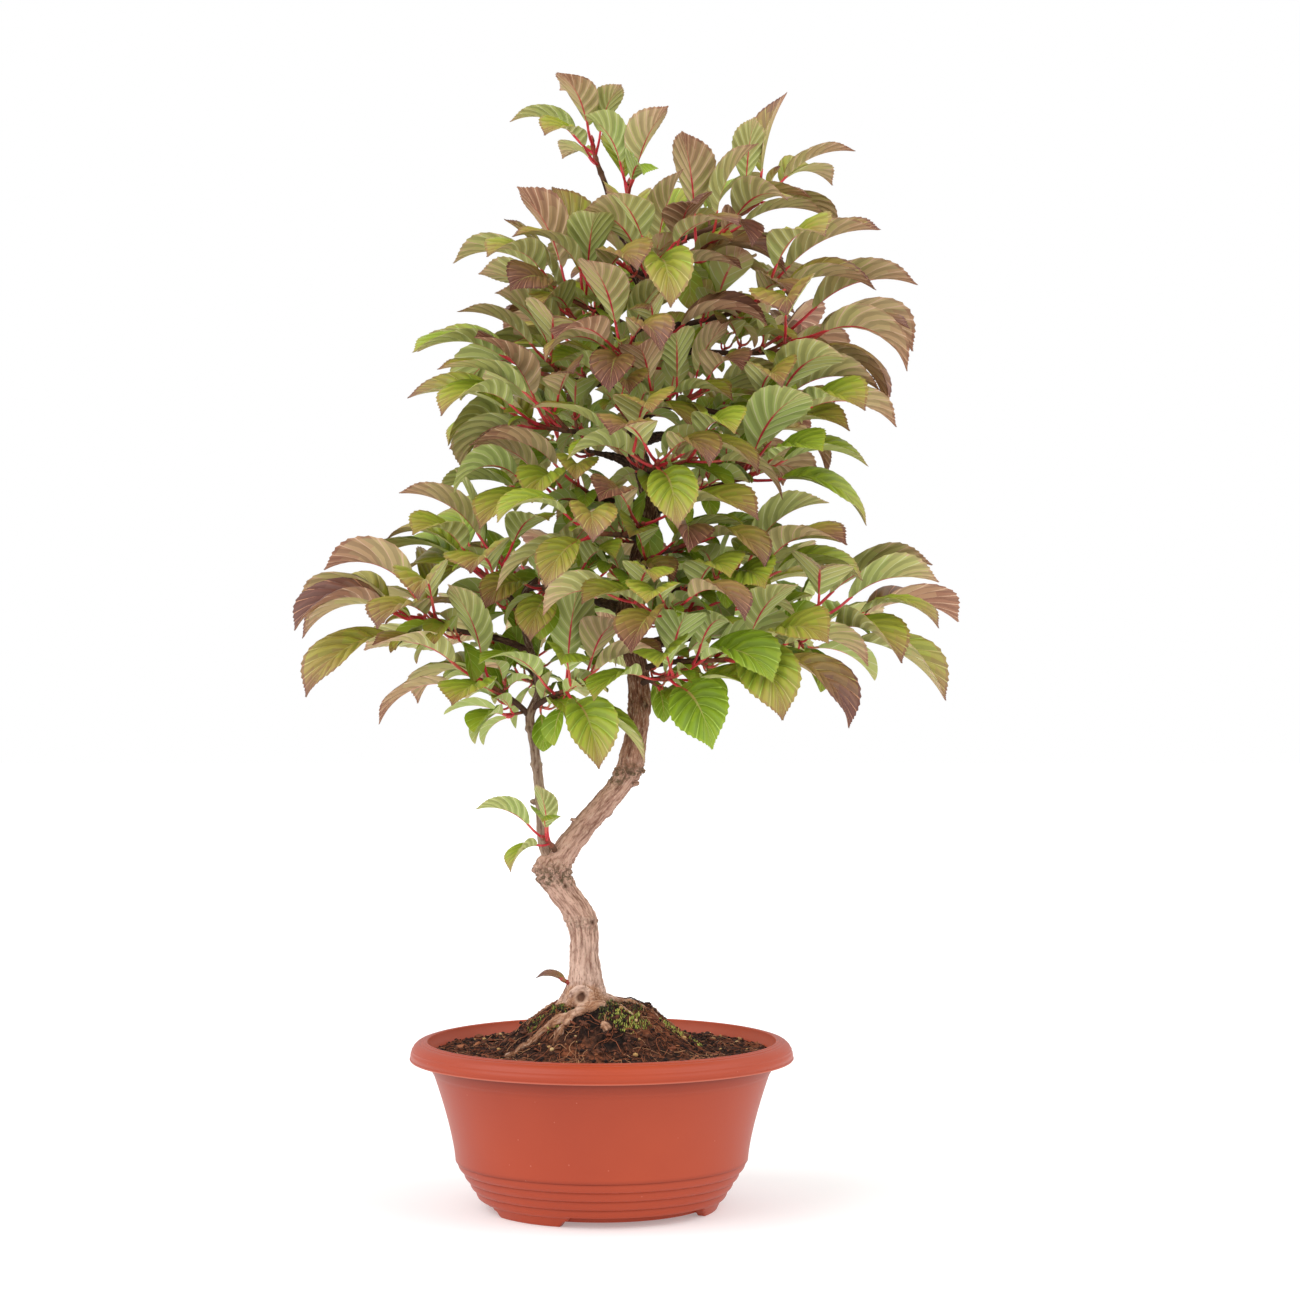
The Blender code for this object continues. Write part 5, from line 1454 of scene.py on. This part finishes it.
def makeBoughs():
    tubes, nodes = [], []
    steps = boughLook["steps"]
    for shoot in shoots:
        if not shoot.boughShare:
            continue
        carrier = trunkRadius if shoot.carrier == "trunk" else stemRadius
        first = min(crown["boughRadius"], crown["boughToCarrier"] * carrier(shoot.start.z))
        points, radii = [], []
        for step in range(steps + 1):
            share = step / steps
            points.append(shoot.point(shoot.boughShare * step / steps))
            swell = boughLook["footSwell"] * math.exp(-share * 9.0)
            swell += boughLook["nodeSwell"] * (math.sin(share * 17.0 + len(tubes)) > 0.75)
            radii.append(boughLook["thicker"] * (first + (crown["boughTip"] - first) * share) + swell)
        tubes.append((points, radii, boughLook["sides"]))
        nodes.append("bough_" + shoot.name)
    mesh = barkMesh("boughBark", tubes, boughLook["voxel"], boughRelief)
    mesh.materials.append(makeBarkFinish("boughBarkFinish", boughLook))
    addPiece("boughBark", mesh, nodes)


def stemLine(shoot):
    # The foliage stem in fine steps, swollen where its pairs of leaves stand
    steps = twigLook["stemSteps"]
    points = [shoot.point(between((shoot.boughShare, 1.0), step / steps)) for step in range(steps + 1)]
    total = runLength(points)
    radii, run = [], 0.0
    first = crown["boughTip"] if shoot.boughShare else twigLook["stemRadius"]
    for index, point in enumerate(points):
        if index:
            run += (point - points[index - 1]).length
        radius = first + (twigLook["stemTip"] - first) * (run / total)
        for setback in crown["setbacks"][:shoot.pairs]:
            radius += twigLook["nodeSwell"] * math.exp(-((total - run - setback) / twigLook["nodeWidth"]) ** 2)
        radii.append(radius)
    return points, radii


def finerRun(run, count):
    # The three points of a twig as a run of more, still straight between them
    return [run[0].lerp(run[1], share) if share <= 1.0 else run[1].lerp(run[2], share - 1.0)
            for share in np.linspace(0, 2, count)]


def makeTwigs():
    count = len(twigLook["tints"])
    twigs = TubeSet(tintSet("twigTint", twigLook["tints"], 0.75, 0.3)
                    + tintSet("budTint", twigLook["buds"], 0.55, 0.4))
    steps, sideSteps = twigLook["stemSteps"], len(twigLook["sideSlots"]) - 1
    slots = [min(count - 1, int(1 + (count - 1) * (step / steps) ** 1.6)) for step in range(steps + 1)]
    sideRadii = [twigLook["sideRadius"] - twigLook["sideTaper"] * step / sideSteps for step in range(sideSteps + 1)]
    for shoot in shoots:
        twigs.add(*stemLine(shoot), twigLook["stemSides"], slots)
        for run in shoot.twigs:
            twigs.add(finerRun(run, sideSteps + 1), sideRadii, 7, twigLook["sideSlots"])
        for run in shoot.spurs:
            twigs.add(finerRun(run, len(twigLook["spurRadii"])), twigLook["spurRadii"], 6, twigLook["spurSlots"])
    budSlots = [count + slot for slot in twigLook["budSlots"]]
    for shoot in shoots:
        # A bud ends each stem and each side twig
        for tip, axis in [(shoot.tip, shoot.arrive)] + [(run[2], run[2] - run[0]) for run in shoot.twigs]:
            axis = axis.normalized()
            points = [tip + axis * place for place in twigLook["budPlaces"]]
            twigs.add(points, twigLook["budRadii"], 6, budSlots)
    twigs.finish("twigs", "twig_bark")


def makeStalks():
    stalks = TubeSet(tintSet("stalkTint", stalkLook["tints"], 0.45, 0.4))
    for shoot in shoots:
        for leaf in shoot.leaves:
            tangent, _, upper = leafFrame(leaf, leaf["first"])
            size = 0.55 + 0.45 * leaf["length"] / crown["commonLeaf"]
            points = []
            for share in stalkLook["places"]:
                sag = -stalkLook["sag"] * math.sin(math.pi * max(0.0, min(1.0, share))) * size
                points.append(leaf["root"] + tangent * (leaf["petiole"] * share)
                              + upper * (sag - stalkLook["sink"] * max(0.0, share)))
            radii = [radius * size for radius in stalkLook["radii"]]
            draw = random.Random("stalk " + leaf["seed"]).random()
            if leaf["kind"] == "small":
                tint = 1 if draw < stalkLook["smallShare"] else 2
            else:
                tint = 0 if draw < stalkLook["redShare"] else 1
            stalks.add(points, radii, stalkLook["sides"], [tint] * 4 + [tint + 1] * 2)
    stalks.finish("leafStalks", "leaf")


makeBoughs()
makeTwigs()
makeStalks()
print("boughs and twigs made")


# Leaves

leafLook = {
    # The template's columns across the leaf, its veins, and the rows in each of them
    "columns": (-1.0, -0.94, -0.66, -0.34, -0.045, 0.045, 0.34, 0.66, 0.94, 1.0),
    "smallColumns": (-1.0, -0.55, -0.06, 0.06, 0.55, 1.0),
    "veins": 9, "smallVeins": 6, "rowsInVein": (0.0, 0.10, 0.33, 0.57, 0.8), "smallRowsInVein": (0.0, 0.12, 0.56),
    # How far the veins run forward, and the pleats between them, as shares of the leaf's length
    "lead": 0.33, "relief": 0.025,
    # Teeth, out and forward, and how much the margin curls over and waves, as shares of half the width
    "tooth": 0.045, "toothForward": 0.012, "curl": 0.16, "curls": (0.5, 1.6), "wave": 0.06, "waves": 9.0,
    "thickness": 0.3, "keel": 0.45, "ribSink": 0.35, "twist": 22.0, "archLift": 0.16, "archBend": 1.54,
    "steepest": 1.5, "foldEase": 0.25, "ovals": (1.0, 1.3),
    # From the greenest leaf to the darkest bronze one
    "tones": ((128, 156, 32), (146, 168, 42), (160, 170, 54), (164, 152, 64), (158, 128, 70), (140, 103, 68),
              (124, 83, 66), (108, 64, 50)),
    "toneCount": 13,
    "underTones": ((190, 204, 124), (198, 202, 126), (204, 194, 130), (208, 182, 138), (200, 160, 126),
                   (178, 130, 106)),
    "underCount": 8,
    # How much darker the shaded side of a pleat is, above and below
    "topShade": 0.92, "underShade": 0.89,
    "veinTones": ((170, 198, 84), (190, 178, 104), (186, 134, 104)),
    "underVeinTones": ((214, 216, 162), (222, 188, 158)),
    "ribTones": ((196, 84, 74), (188, 164, 96), (178, 176, 96)),
    "underRibTones": ((206, 62, 74), (214, 104, 96), (216, 160, 130)),
    "roughness": 0.44, "specular": 0.38, "underRoughness": 0.7, "underSpecular": 0.2, "smallWider": 1.15,
    # How far a leaf has turned: at the crown's foot and axis, and what height and distance out add to it
    "turned": -0.09, "turnedHigh": 0.24, "turnedOut": 0.32, "crownFoot": 270.0, "crownHeight": 250.0,
    "crownReach": 100.0, "sprayTurns": (-0.08, 0.10), "leafTurns": (-0.12, 0.14), "smallGreener": 0.26,
    "darkShare": 0.14, "darker": 0.32, "footTurned": 0.62, "forkTurns": (0.0, 0.2),
    # How much more it has turned towards its tip and margin, and how much its faces differ
    "flushes": (0.10, 0.62), "tipFlush": 0.85, "marginFlush": 0.4, "rimFlush": 0.12, "faceTurn": 0.035,
    # How soon the red of the midrib fades along the leaf, above and below, and on a small leaf
    "ribFades": (5.5, 2.6), "smallRibFade": 0.9,
}


def leafTemplate(columns, veins, rowsInVein):
    # A leaf laid out flat: x across it, y from base to tip along the vein lines, z 0 above and -1 below
    rows = [(vein + share) / veins for vein in range(veins) for share in rowsInVein] + [1.0]
    bm = bmesh.new()
    bmesh.ops.create_grid(bm, x_segments=len(columns) - 1, y_segments=len(rows) - 1, size=1.0)
    for vert in bm.verts:
        column = round((vert.co.x + 1.0) / 2.0 * (len(columns) - 1))
        row = round((vert.co.y + 1.0) / 2.0 * (len(rows) - 1))
        vert.co = (columns[column], rows[row], 0.0)
    under = bmesh.ops.duplicate(bm, geom=bm.verts[:] + bm.edges[:] + bm.faces[:])["geom"]
    bmesh.ops.reverse_faces(bm, faces=[item for item in under if isinstance(item, bmesh.types.BMFace)])
    for item in under:
        if isinstance(item, bmesh.types.BMVert) and abs(item.co.x) < 0.999 and 0.001 < item.co.y < 0.999:
            item.co.z = -1.0
    bmesh.ops.remove_doubles(bm, verts=bm.verts, dist=0.0001)
    for edge in bm.edges:
        ends = [vert.co for vert in edge.verts]
        atSide = all(abs(co.x) > 0.999 for co in ends)
        edge.smooth = not (atSide or all(co.y < 0.001 for co in ends) or all(co.y > 0.999 for co in ends))
    return meshFrom(bm, "leafTemplate")


class LeafForm:
    # A template with the places of its points and faces at hand as arrays
    def __init__(self, columns, veins, rowsInVein):
        self.mesh = leafTemplate(columns, veins, rowsInVein)
        flat = np.empty(len(self.mesh.vertices) * 3)
        self.mesh.vertices.foreach_get("co", flat)
        self.across, self.along, self.under = flat.reshape(-1, 3).T
        self.veins = veins
        part = (self.along * veins) % 1.0
        part = np.where(part > 0.999, 0.0, part)
        self.ridge = np.interp(part, (0.0, 0.1, 0.33, 0.57, 0.8, 1.0), (-1.0, -0.8, 0.4, 1.0, 0.4, -1.0))
        self.tooth = np.where((np.abs(self.across) > 0.999) & ((part > 0.2) & (part < 0.45) | (part > 0.7)), 1.0, 0.0)
        centres = [polygon.center for polygon in self.mesh.polygons]
        self.faceAcross = np.array([c.x for c in centres])
        self.faceAlong = np.array([c.y for c in centres])
        self.faceTop = np.array([polygon.normal.z > 0.0 for polygon in self.mesh.polygons])
        self.faceRib = np.abs(self.faceAcross) < 0.01
        facePart = (self.faceAlong * veins) % 1.0
        self.faceVein = (facePart < 0.1) & ~self.faceRib
        self.shaded = np.where(self.faceTop, (facePart < 0.33) | (facePart > 0.85),
                               (facePart > 0.33) & (facePart < 0.8) & (veins > 7))


def leafOutline(share, blunt, oval):
    # The blade's width at a share of its length: drawn out at the tip, or round on the small leaves.
    # The more oval a leaf is, the further out it is widest
    share = np.clip(share, 0.0, 1.0)
    if blunt:
        return 0.03 + 0.98 * np.abs(np.sin(math.pi * share ** 1.3)) ** (0.72 + 0.1 * share ** 3)
    return 0.03 + 0.98 * np.abs(np.sin(math.pi * share ** oval)) ** (0.68 + 0.85 * share ** 3.6)


def shapeLeaf(form, leaf):
    # Where the template's points go on this leaf, in metres
    look = leafLook
    source = random.Random("blade " + leaf["seed"])
    length, half = leaf["length"], leaf["halfWidth"]
    blunt = leaf["kind"] == "small"
    if blunt:
        half *= look["smallWider"]
    # The blade arches more than the plain leaf did, between the same two ends
    first = min(leaf["first"] + look["archLift"], look["steepest"])
    bend = leaf["bend"] * look["archBend"]
    lead = look["lead"] * np.sin(math.pi * form.along ** 0.85)
    reach = np.abs(form.across)
    share = form.along + lead * reach ** 1.2
    oval = random.Random("oval " + leaf["seed"]).uniform(*look["ovals"])
    width = leafOutline(form.along + lead, blunt, oval)
    size = half * width * reach * (1.0 + look["tooth"] * form.tooth * (form.along < 0.96))
    share = share + form.tooth * look["toothForward"]
    pitch = first - bend * share
    run = (math.sin(first) - np.sin(pitch)) / bend * length
    rise = (np.cos(pitch) - math.cos(first)) / bend * length
    # The halves rise from the midrib as a fold and curl over a little towards the margin
    folded = leaf["fold"] * (1.0 - look["foldEase"] * share)
    curl = look["curl"] * source.uniform(*look["curls"])
    ratio = size / half
    out = size * np.cos(folded)
    lift = size * np.sin(folded) - curl * half * ratio ** 2
    wave = source.uniform(0.0, 6.28)
    wavy = np.sin(form.along * look["waves"] + wave + np.sign(form.across))
    lift = lift + half * look["wave"] * ratio ** 2 * wavy
    # The pleats fade out at the margin and at the midrib
    body = np.sin(math.pi * np.clip(reach, 0.0, 1.0)) ** 0.6 * (1.0 - 0.6 * (reach > 0.9)) * (reach > 0.1)
    lift = lift + length * look["relief"] * form.ridge * body * np.clip(width * 1.2, 0.0, 1.0)
    rib = reach < 0.1
    lift = lift - look["ribSink"] * rib * np.clip(width, 0.0, 1.0)
    lift = lift + form.under * (look["thickness"] + look["keel"] * rib * (1.0 - form.along))
    roll = leaf["roll"] + math.radians(look["twist"]) * source.uniform(-1.0, 1.0) * share
    across = np.sign(form.across) * out
    sideways = across * np.cos(roll) - lift * np.sin(roll)
    upward = across * np.sin(roll) + lift * np.cos(roll)
    flat = np.array(leaf["flat"])
    level = np.array(leaf["flat"].cross(up).normalized())
    high = np.array(up)
    base = np.array(leaf["root"] + leafFrame(leaf, leaf["first"])[0] * leaf["petiole"])
    upper = high[None, :] * np.cos(pitch)[:, None] - flat[None, :] * np.sin(pitch)[:, None]
    points = base[None, :] + flat[None, :] * run[:, None] + high[None, :] * rise[:, None]
    points = points + level[None, :] * sideways[:, None] + upper * upward[:, None]
    return points * mm


def leafTone(leaf):
    # How far a leaf has turned from green to bronze: more so high up, far out and at the shoot's tip
    look = leafLook
    shoot = leaf["shoot"]
    source = random.Random("tone " + leaf["seed"])
    spray = random.Random("spray " + shoot.name).uniform(*look["sprayTurns"])
    if shoot.name == "base_shoot":
        return look["footTurned"]
    if shoot.name == "fork_shoot":
        return source.uniform(*look["forkTurns"])
    height = max(0.0, min(1.0, (leaf["root"].z - look["crownFoot"]) / look["crownHeight"]))
    out = min(1.2, math.hypot(leaf["root"].x - crown["axis"], leaf["root"].y) / look["crownReach"])
    tone = look["turned"] + look["turnedHigh"] * height + look["turnedOut"] * out
    tone = tone + spray + source.uniform(*look["leafTurns"])
    if leaf["kind"] == "small":
        tone -= look["smallGreener"] * (1.0 - height)
    if leaf["kind"] == "full" and source.random() < look["darkShare"]:
        tone += look["darker"]
    return max(0.0, tone)


def paintLeaf(form, leaf, mesh):
    # Deals the plain tints out over the faces, in the order in which leafMaterials makes them
    look = leafLook
    source = random.Random("paint " + leaf["seed"])
    tone = leafTone(leaf)
    flush = source.uniform(*look["flushes"]) + tone
    least, most = -look["faceTurn"], look["faceTurn"]
    uneven = np.array([source.uniform(least, most) for _ in range(len(form.faceAlong))])
    reach = np.abs(form.faceAcross)
    turned = form.faceAlong ** 1.8 * look["tipFlush"] + look["marginFlush"] * form.faceAlong * reach ** 3
    value = tone + flush * turned + uneven
    value = value + look["rimFlush"] * (reach > 0.95) * (0.5 + tone)
    count, underCount = look["toneCount"], look["underCount"]
    slots = np.clip((value * count).astype(int), 0, count - 1) + count * form.shaded
    underSlots = np.clip(((value - uneven) * underCount).astype(int), 0, underCount - 1)
    underSlots = 2 * count + underSlots + underCount * form.shaded
    veinBase = 2 * count + 2 * underCount
    veinSlots = veinBase + np.clip((value * 3.0).astype(int), 0, 2)
    underVeinBase = veinBase + len(look["veinTones"])
    underVeinSlots = underVeinBase + (value > 0.4).astype(int)
    ribBase = underVeinBase + len(look["underVeinTones"])
    fade = np.where(form.faceTop, *look["ribFades"])
    ribTurn = form.faceAlong * fade + (look["smallRibFade"] if leaf["kind"] == "small" else 0.0)
    ribSlots = ribBase + np.clip(ribTurn.astype(int), 0, 2)
    ribSlots = np.where(form.faceTop, ribSlots, ribSlots + len(look["ribTones"]))
    slots = np.where(form.faceTop, np.where(form.faceVein, veinSlots, slots),
                     np.where(form.faceVein, underVeinSlots, underSlots))
    slots = np.where(form.faceRib, ribSlots, slots)
    mesh.polygons.foreach_set("material_index", slots.astype(np.int32))


def leafMaterials():
    look = leafLook
    made = []
    for side, stops, count, shade, finish in (
            ("Top", look["tones"], look["toneCount"], look["topShade"],
             (look["roughness"], look["specular"])),
            ("Under", look["underTones"], look["underCount"], look["underShade"],
             (look["underRoughness"], look["underSpecular"]))):
        for lit, depth in (("", 1.0), ("Shaded", shade)):
            blends = [blendTint(stops, number / (count - 1)) for number in range(count)]
            tints = [[channel * depth for channel in blend] for blend in blends]
            made += tintSet(f"leaf{side}{lit}", tints, *finish)
    made += tintSet("leafVein", look["veinTones"], 0.5, 0.4)
    made += tintSet("leafUnderVein", look["underVeinTones"], 0.65, 0.25)
    return made + tintSet("leafRib", look["ribTones"] + look["underRibTones"], 0.5, 0.35)


def makeLeaves():
    look = leafLook
    full = LeafForm(look["columns"], look["veins"], look["rowsInVein"])
    small = LeafForm(look["smallColumns"], look["smallVeins"], look["smallRowsInVein"])
    for material in leafMaterials():
        full.mesh.materials.append(material)
        small.mesh.materials.append(material)
    # Four pieces by height, each with about a quarter of the leaves
    ordered = sorted(shoots, key=lambda shoot: shoot.tip.z)
    total = sum(len(shoot.leaves) for shoot in ordered)
    groups, group, taken = [], [], 0
    for shoot in ordered:
        group.append(shoot)
        taken += len(shoot.leaves)
        if taken > total / 4 and len(groups) < 3:
            groups.append(group)
            group, taken = [], 0
    groups.append(group)
    for name, members in zip(("leavesLow", "leavesLowMiddle", "leavesHighMiddle", "leavesHigh"), groups):
        meshes = []
        for shoot in members:
            for leaf in shoot.leaves:
                form = full if leaf["kind"] == "full" else small
                mesh = form.mesh.copy()
                mesh.vertices.foreach_set("co", shapeLeaf(form, leaf).ravel())
                paintLeaf(form, leaf, mesh)
                meshes.append(mesh)
        joined = joinMeshes(name, meshes)
        addPiece(name, joined, ["foliage_" + shoot.name for shoot in members])
        print(name, len(meshes), "leaves", triangles(joined), "triangles")


makeLeaves()
print("leaves made")


# What lies on the soil: bark chips, fibres, grains, crumbs and moss

litter = {
    # Each kind: how many, their sizes, the shares of the bowl's radius that they lie between, their lift and tints
    "chips": {"count": 430, "sizes": (1.5, 5.5), "inner": 0.14, "outer": 0.97, "lift": 0.35, "tilt": 0.5,
              "kinds": 5, "deal": (0, 1, 1, 2, 2, 3, 4, 4), "roughness": 0.9,
              "tints": ((60, 36, 30), (96, 58, 42), (128, 74, 52), (156, 98, 66), (40, 28, 26))},
    "crumbs": {"count": 1700, "sizes": (0.9, 2.8), "inner": 0.12, "outer": 0.985, "lift": 0.3,
               "kinds": 4, "roughness": 0.95, "tints": ((38, 26, 24), (70, 44, 36), (104, 62, 46))},
    "grains": {"count": 80, "sizes": (1.2, 3.2), "inner": 0.2, "outer": 0.97, "lift": 0.5,
               "kinds": 4, "roughness": 0.85, "tints": ((190, 150, 96), (168, 128, 84), (204, 172, 122))},
    "fibres": {"count": 1500, "steps": (1.2, 3.4), "bends": (-0.5, 0.5), "heights": (0.1, 0.9), "inner": 0.16,
               "outer": 0.9, "lift": 0.25, "radii": (0.12, 0.28), "deal": (0, 0, 1, 1, 1, 2, 3),
               "tints": ((150, 88, 60), (50, 34, 28), (184, 134, 98), (104, 62, 46))},
    # The moss's shoots, from bright to nearly black with a few brown ones, and how many grow of those sown
    "moss": {"heights": (0.8, 2.4), "radii": (0.22, 0.30, 0.06), "brownShare": 0.14, "thinnest": -0.12,
             "tints": ((196, 200, 102), (158, 172, 76), (108, 120, 54), (74, 78, 48), (52, 48, 36), (156, 106, 62))},
    # Where the moss grows: place, reach, how many shoots, and how dark (0 bright to 1 nearly black)
    "mossPatches": ((12, -26, 7, 300, 0.1), (20, -21, 6, 190, 0.35), (37, -6, 7, 230, 0.1), (47, 5, 6, 160, 0.1),
                    (-24, -25, 5, 150, 0.3), (-34, -12, 5, 120, 0.5), (-24, -12, 6, 190, 0.75),
                    (5, -15, 6, 210, 0.8), (17, -8, 7, 240, 0.75), (-17, -19, 4, 100, 0.8), (2, -24, 5, 110, 0.7),
                    (30, 20, 8, 200, 0.3), (-18, 24, 9, 230, 0.2), (12, 34, 6, 130, 0.4), (-4, 20, 7, 160, 0.8)),
}


def turnTo(normal, spin):
    return normal.to_track_quat("Z", "Y").to_matrix().to_4x4() @ Matrix.Rotation(spin, 4, "Z")


def chipTemplates(kinds):
    made = []
    for kind in range(kinds):
        source = random.Random(f"chip {kind}")
        bm = bmesh.new()
        bmesh.ops.create_cube(bm, size=1.0)
        bmesh.ops.subdivide_edges(bm, edges=bm.edges[:], cuts=1)
        bmesh.ops.scale(bm, vec=(1.0, source.uniform(0.35, 0.7), source.uniform(0.14, 0.3)), verts=bm.verts)
        for vert in bm.verts:
            vert.co += Vector([source.uniform(-0.09, 0.09), source.uniform(-0.08, 0.08), source.uniform(-0.05, 0.05)])
        made.append(meshFrom(bm, "chip", False))
    return made


def crumbTemplates(kinds):
    made = []
    for kind in range(kinds):
        source = random.Random(f"crumb {kind}")
        bm = bmesh.new()
        bmesh.ops.create_icosphere(bm, subdivisions=1, radius=0.5)
        for vert in bm.verts:
            vert.co *= source.uniform(0.75, 1.25)
        bmesh.ops.scale(bm, vec=(1.0, source.uniform(0.7, 1.0), source.uniform(0.6, 0.9)), verts=bm.verts)
        made.append(meshFrom(bm, "crumb"))
    return made


def layBits(name, kind, source, makeTemplates):
    # Copies of a few small bodies, each at a place of its own on the soil, joined in one piece
    look = litter[kind]
    templates = makeTemplates(look["kinds"])
    for material in tintSet(name + "Tint", look["tints"], look["roughness"], 0.25):
        for template in templates:
            template.materials.append(material)
    meshes = []
    for _ in range(look["count"]):
        hit, normal = soilSpot(source, look["inner"], look["outer"])
        if kind == "chips":
            # Most chips are small, and they lie at all angles
            size = between(look["sizes"], source.random() ** 2) * mm
            tilt = Vector([source.uniform(-look["tilt"], look["tilt"]) for _ in range(3)])
            facing = (normal + tilt).normalized()
        else:
            size = source.uniform(*look["sizes"]) * mm
            facing = normal
        place = Matrix.Translation((hit + normal * look["lift"]) * mm) @ turnTo(facing, source.uniform(0, 6.28))
        mesh = templates[source.randrange(look["kinds"])].copy()
        mesh.transform(place @ Matrix.Scale(size, 4))
        tint = source.choice(look["deal"]) if kind == "chips" else source.randrange(len(look["tints"]))
        mesh.polygons.foreach_set("material_index", [tint] * len(mesh.polygons))
        meshes.append(mesh)
    joined = joinMeshes(name, meshes)
    addPiece(name, joined)
    print(name, triangles(joined), "triangles")


def layLitter():
    source = random.Random("litter")
    layBits("barkChips", "chips", source, chipTemplates)
    layBits("soilCrumbs", "crumbs", source, crumbTemplates)
    layBits("paleGrains", "grains", source, crumbTemplates)


def layFibres():
    look = litter["fibres"]
    strands = TubeSet(tintSet("fibreTint", look["tints"], 0.9, 0.25))
    source = random.Random("fibres")
    for _ in range(look["count"]):
        start, _ = soilSpot(source, look["inner"], look["outer"])
        turn = source.uniform(0, 6.28)
        step = source.uniform(*look["steps"])
        bend = source.uniform(*look["bends"])
        height = source.uniform(*look["heights"])
        points = []
        x, y = start.x, start.y
        for index in range(6):
            hit, _ = onSoil(x, y)
            points.append(hit + up * (height * math.sin(math.pi * index / 5) + look["lift"]))
            x, y = x + step * math.cos(turn), y + step * math.sin(turn)
            if math.hypot(x, y) > wallRadius - 1.5:
                x, y = x * 0.97, y * 0.97       # turned back from the wall
            turn += bend + source.uniform(-0.25, 0.25)
        radius = source.uniform(*look["radii"])
        tint = source.choice(look["deal"])
        strands.add(points, [radius * (1.0 - 0.1 * index) for index in range(6)], 4, [tint] * 6)
    strands.finish("soilFibres", "potting_soil")


def growMoss():
    look = litter["moss"]
    tufts = TubeSet(tintSet("mossTint", look["tints"], 0.85, 0.25))
    source = random.Random("moss")
    for x, y, reach, count, dark in litter["mossPatches"]:
        for _ in range(count):
            turn, away = source.uniform(0, 6.28), reach * math.sqrt(source.random())
            hit, normal = onSoil(x + away * math.cos(turn), y + away * math.sin(turn))
            # It stands in clumps, higher and brighter in their middles
            clump = noise.noise(hit / 2.6) + 0.5 * noise.noise(hit / 1.1)
            if clump < look["thinnest"]:
                continue
            lean = (normal + up + Vector([source.uniform(-1.3, 1.3) for _ in range(3)])).normalized()
            tall = source.uniform(*look["heights"]) * (1.15 - 0.6 * away / reach) * (0.8 + 0.8 * clump)
            tint = max(0, min(4, int(4.2 * dark + source.uniform(-0.6, 2.4) - 1.6 * clump)))
            if source.random() < look["brownShare"]:
                tint = 5
            points = [hit - lean * 0.3, hit + lean * (tall * 0.45), hit + lean * tall + up * 0.2]
            tufts.add(points, look["radii"], 3, [tint] * 3)
    tufts.finish("moss", "potting_soil")


layLitter()
layFibres()
growMoss()
print("litter laid")
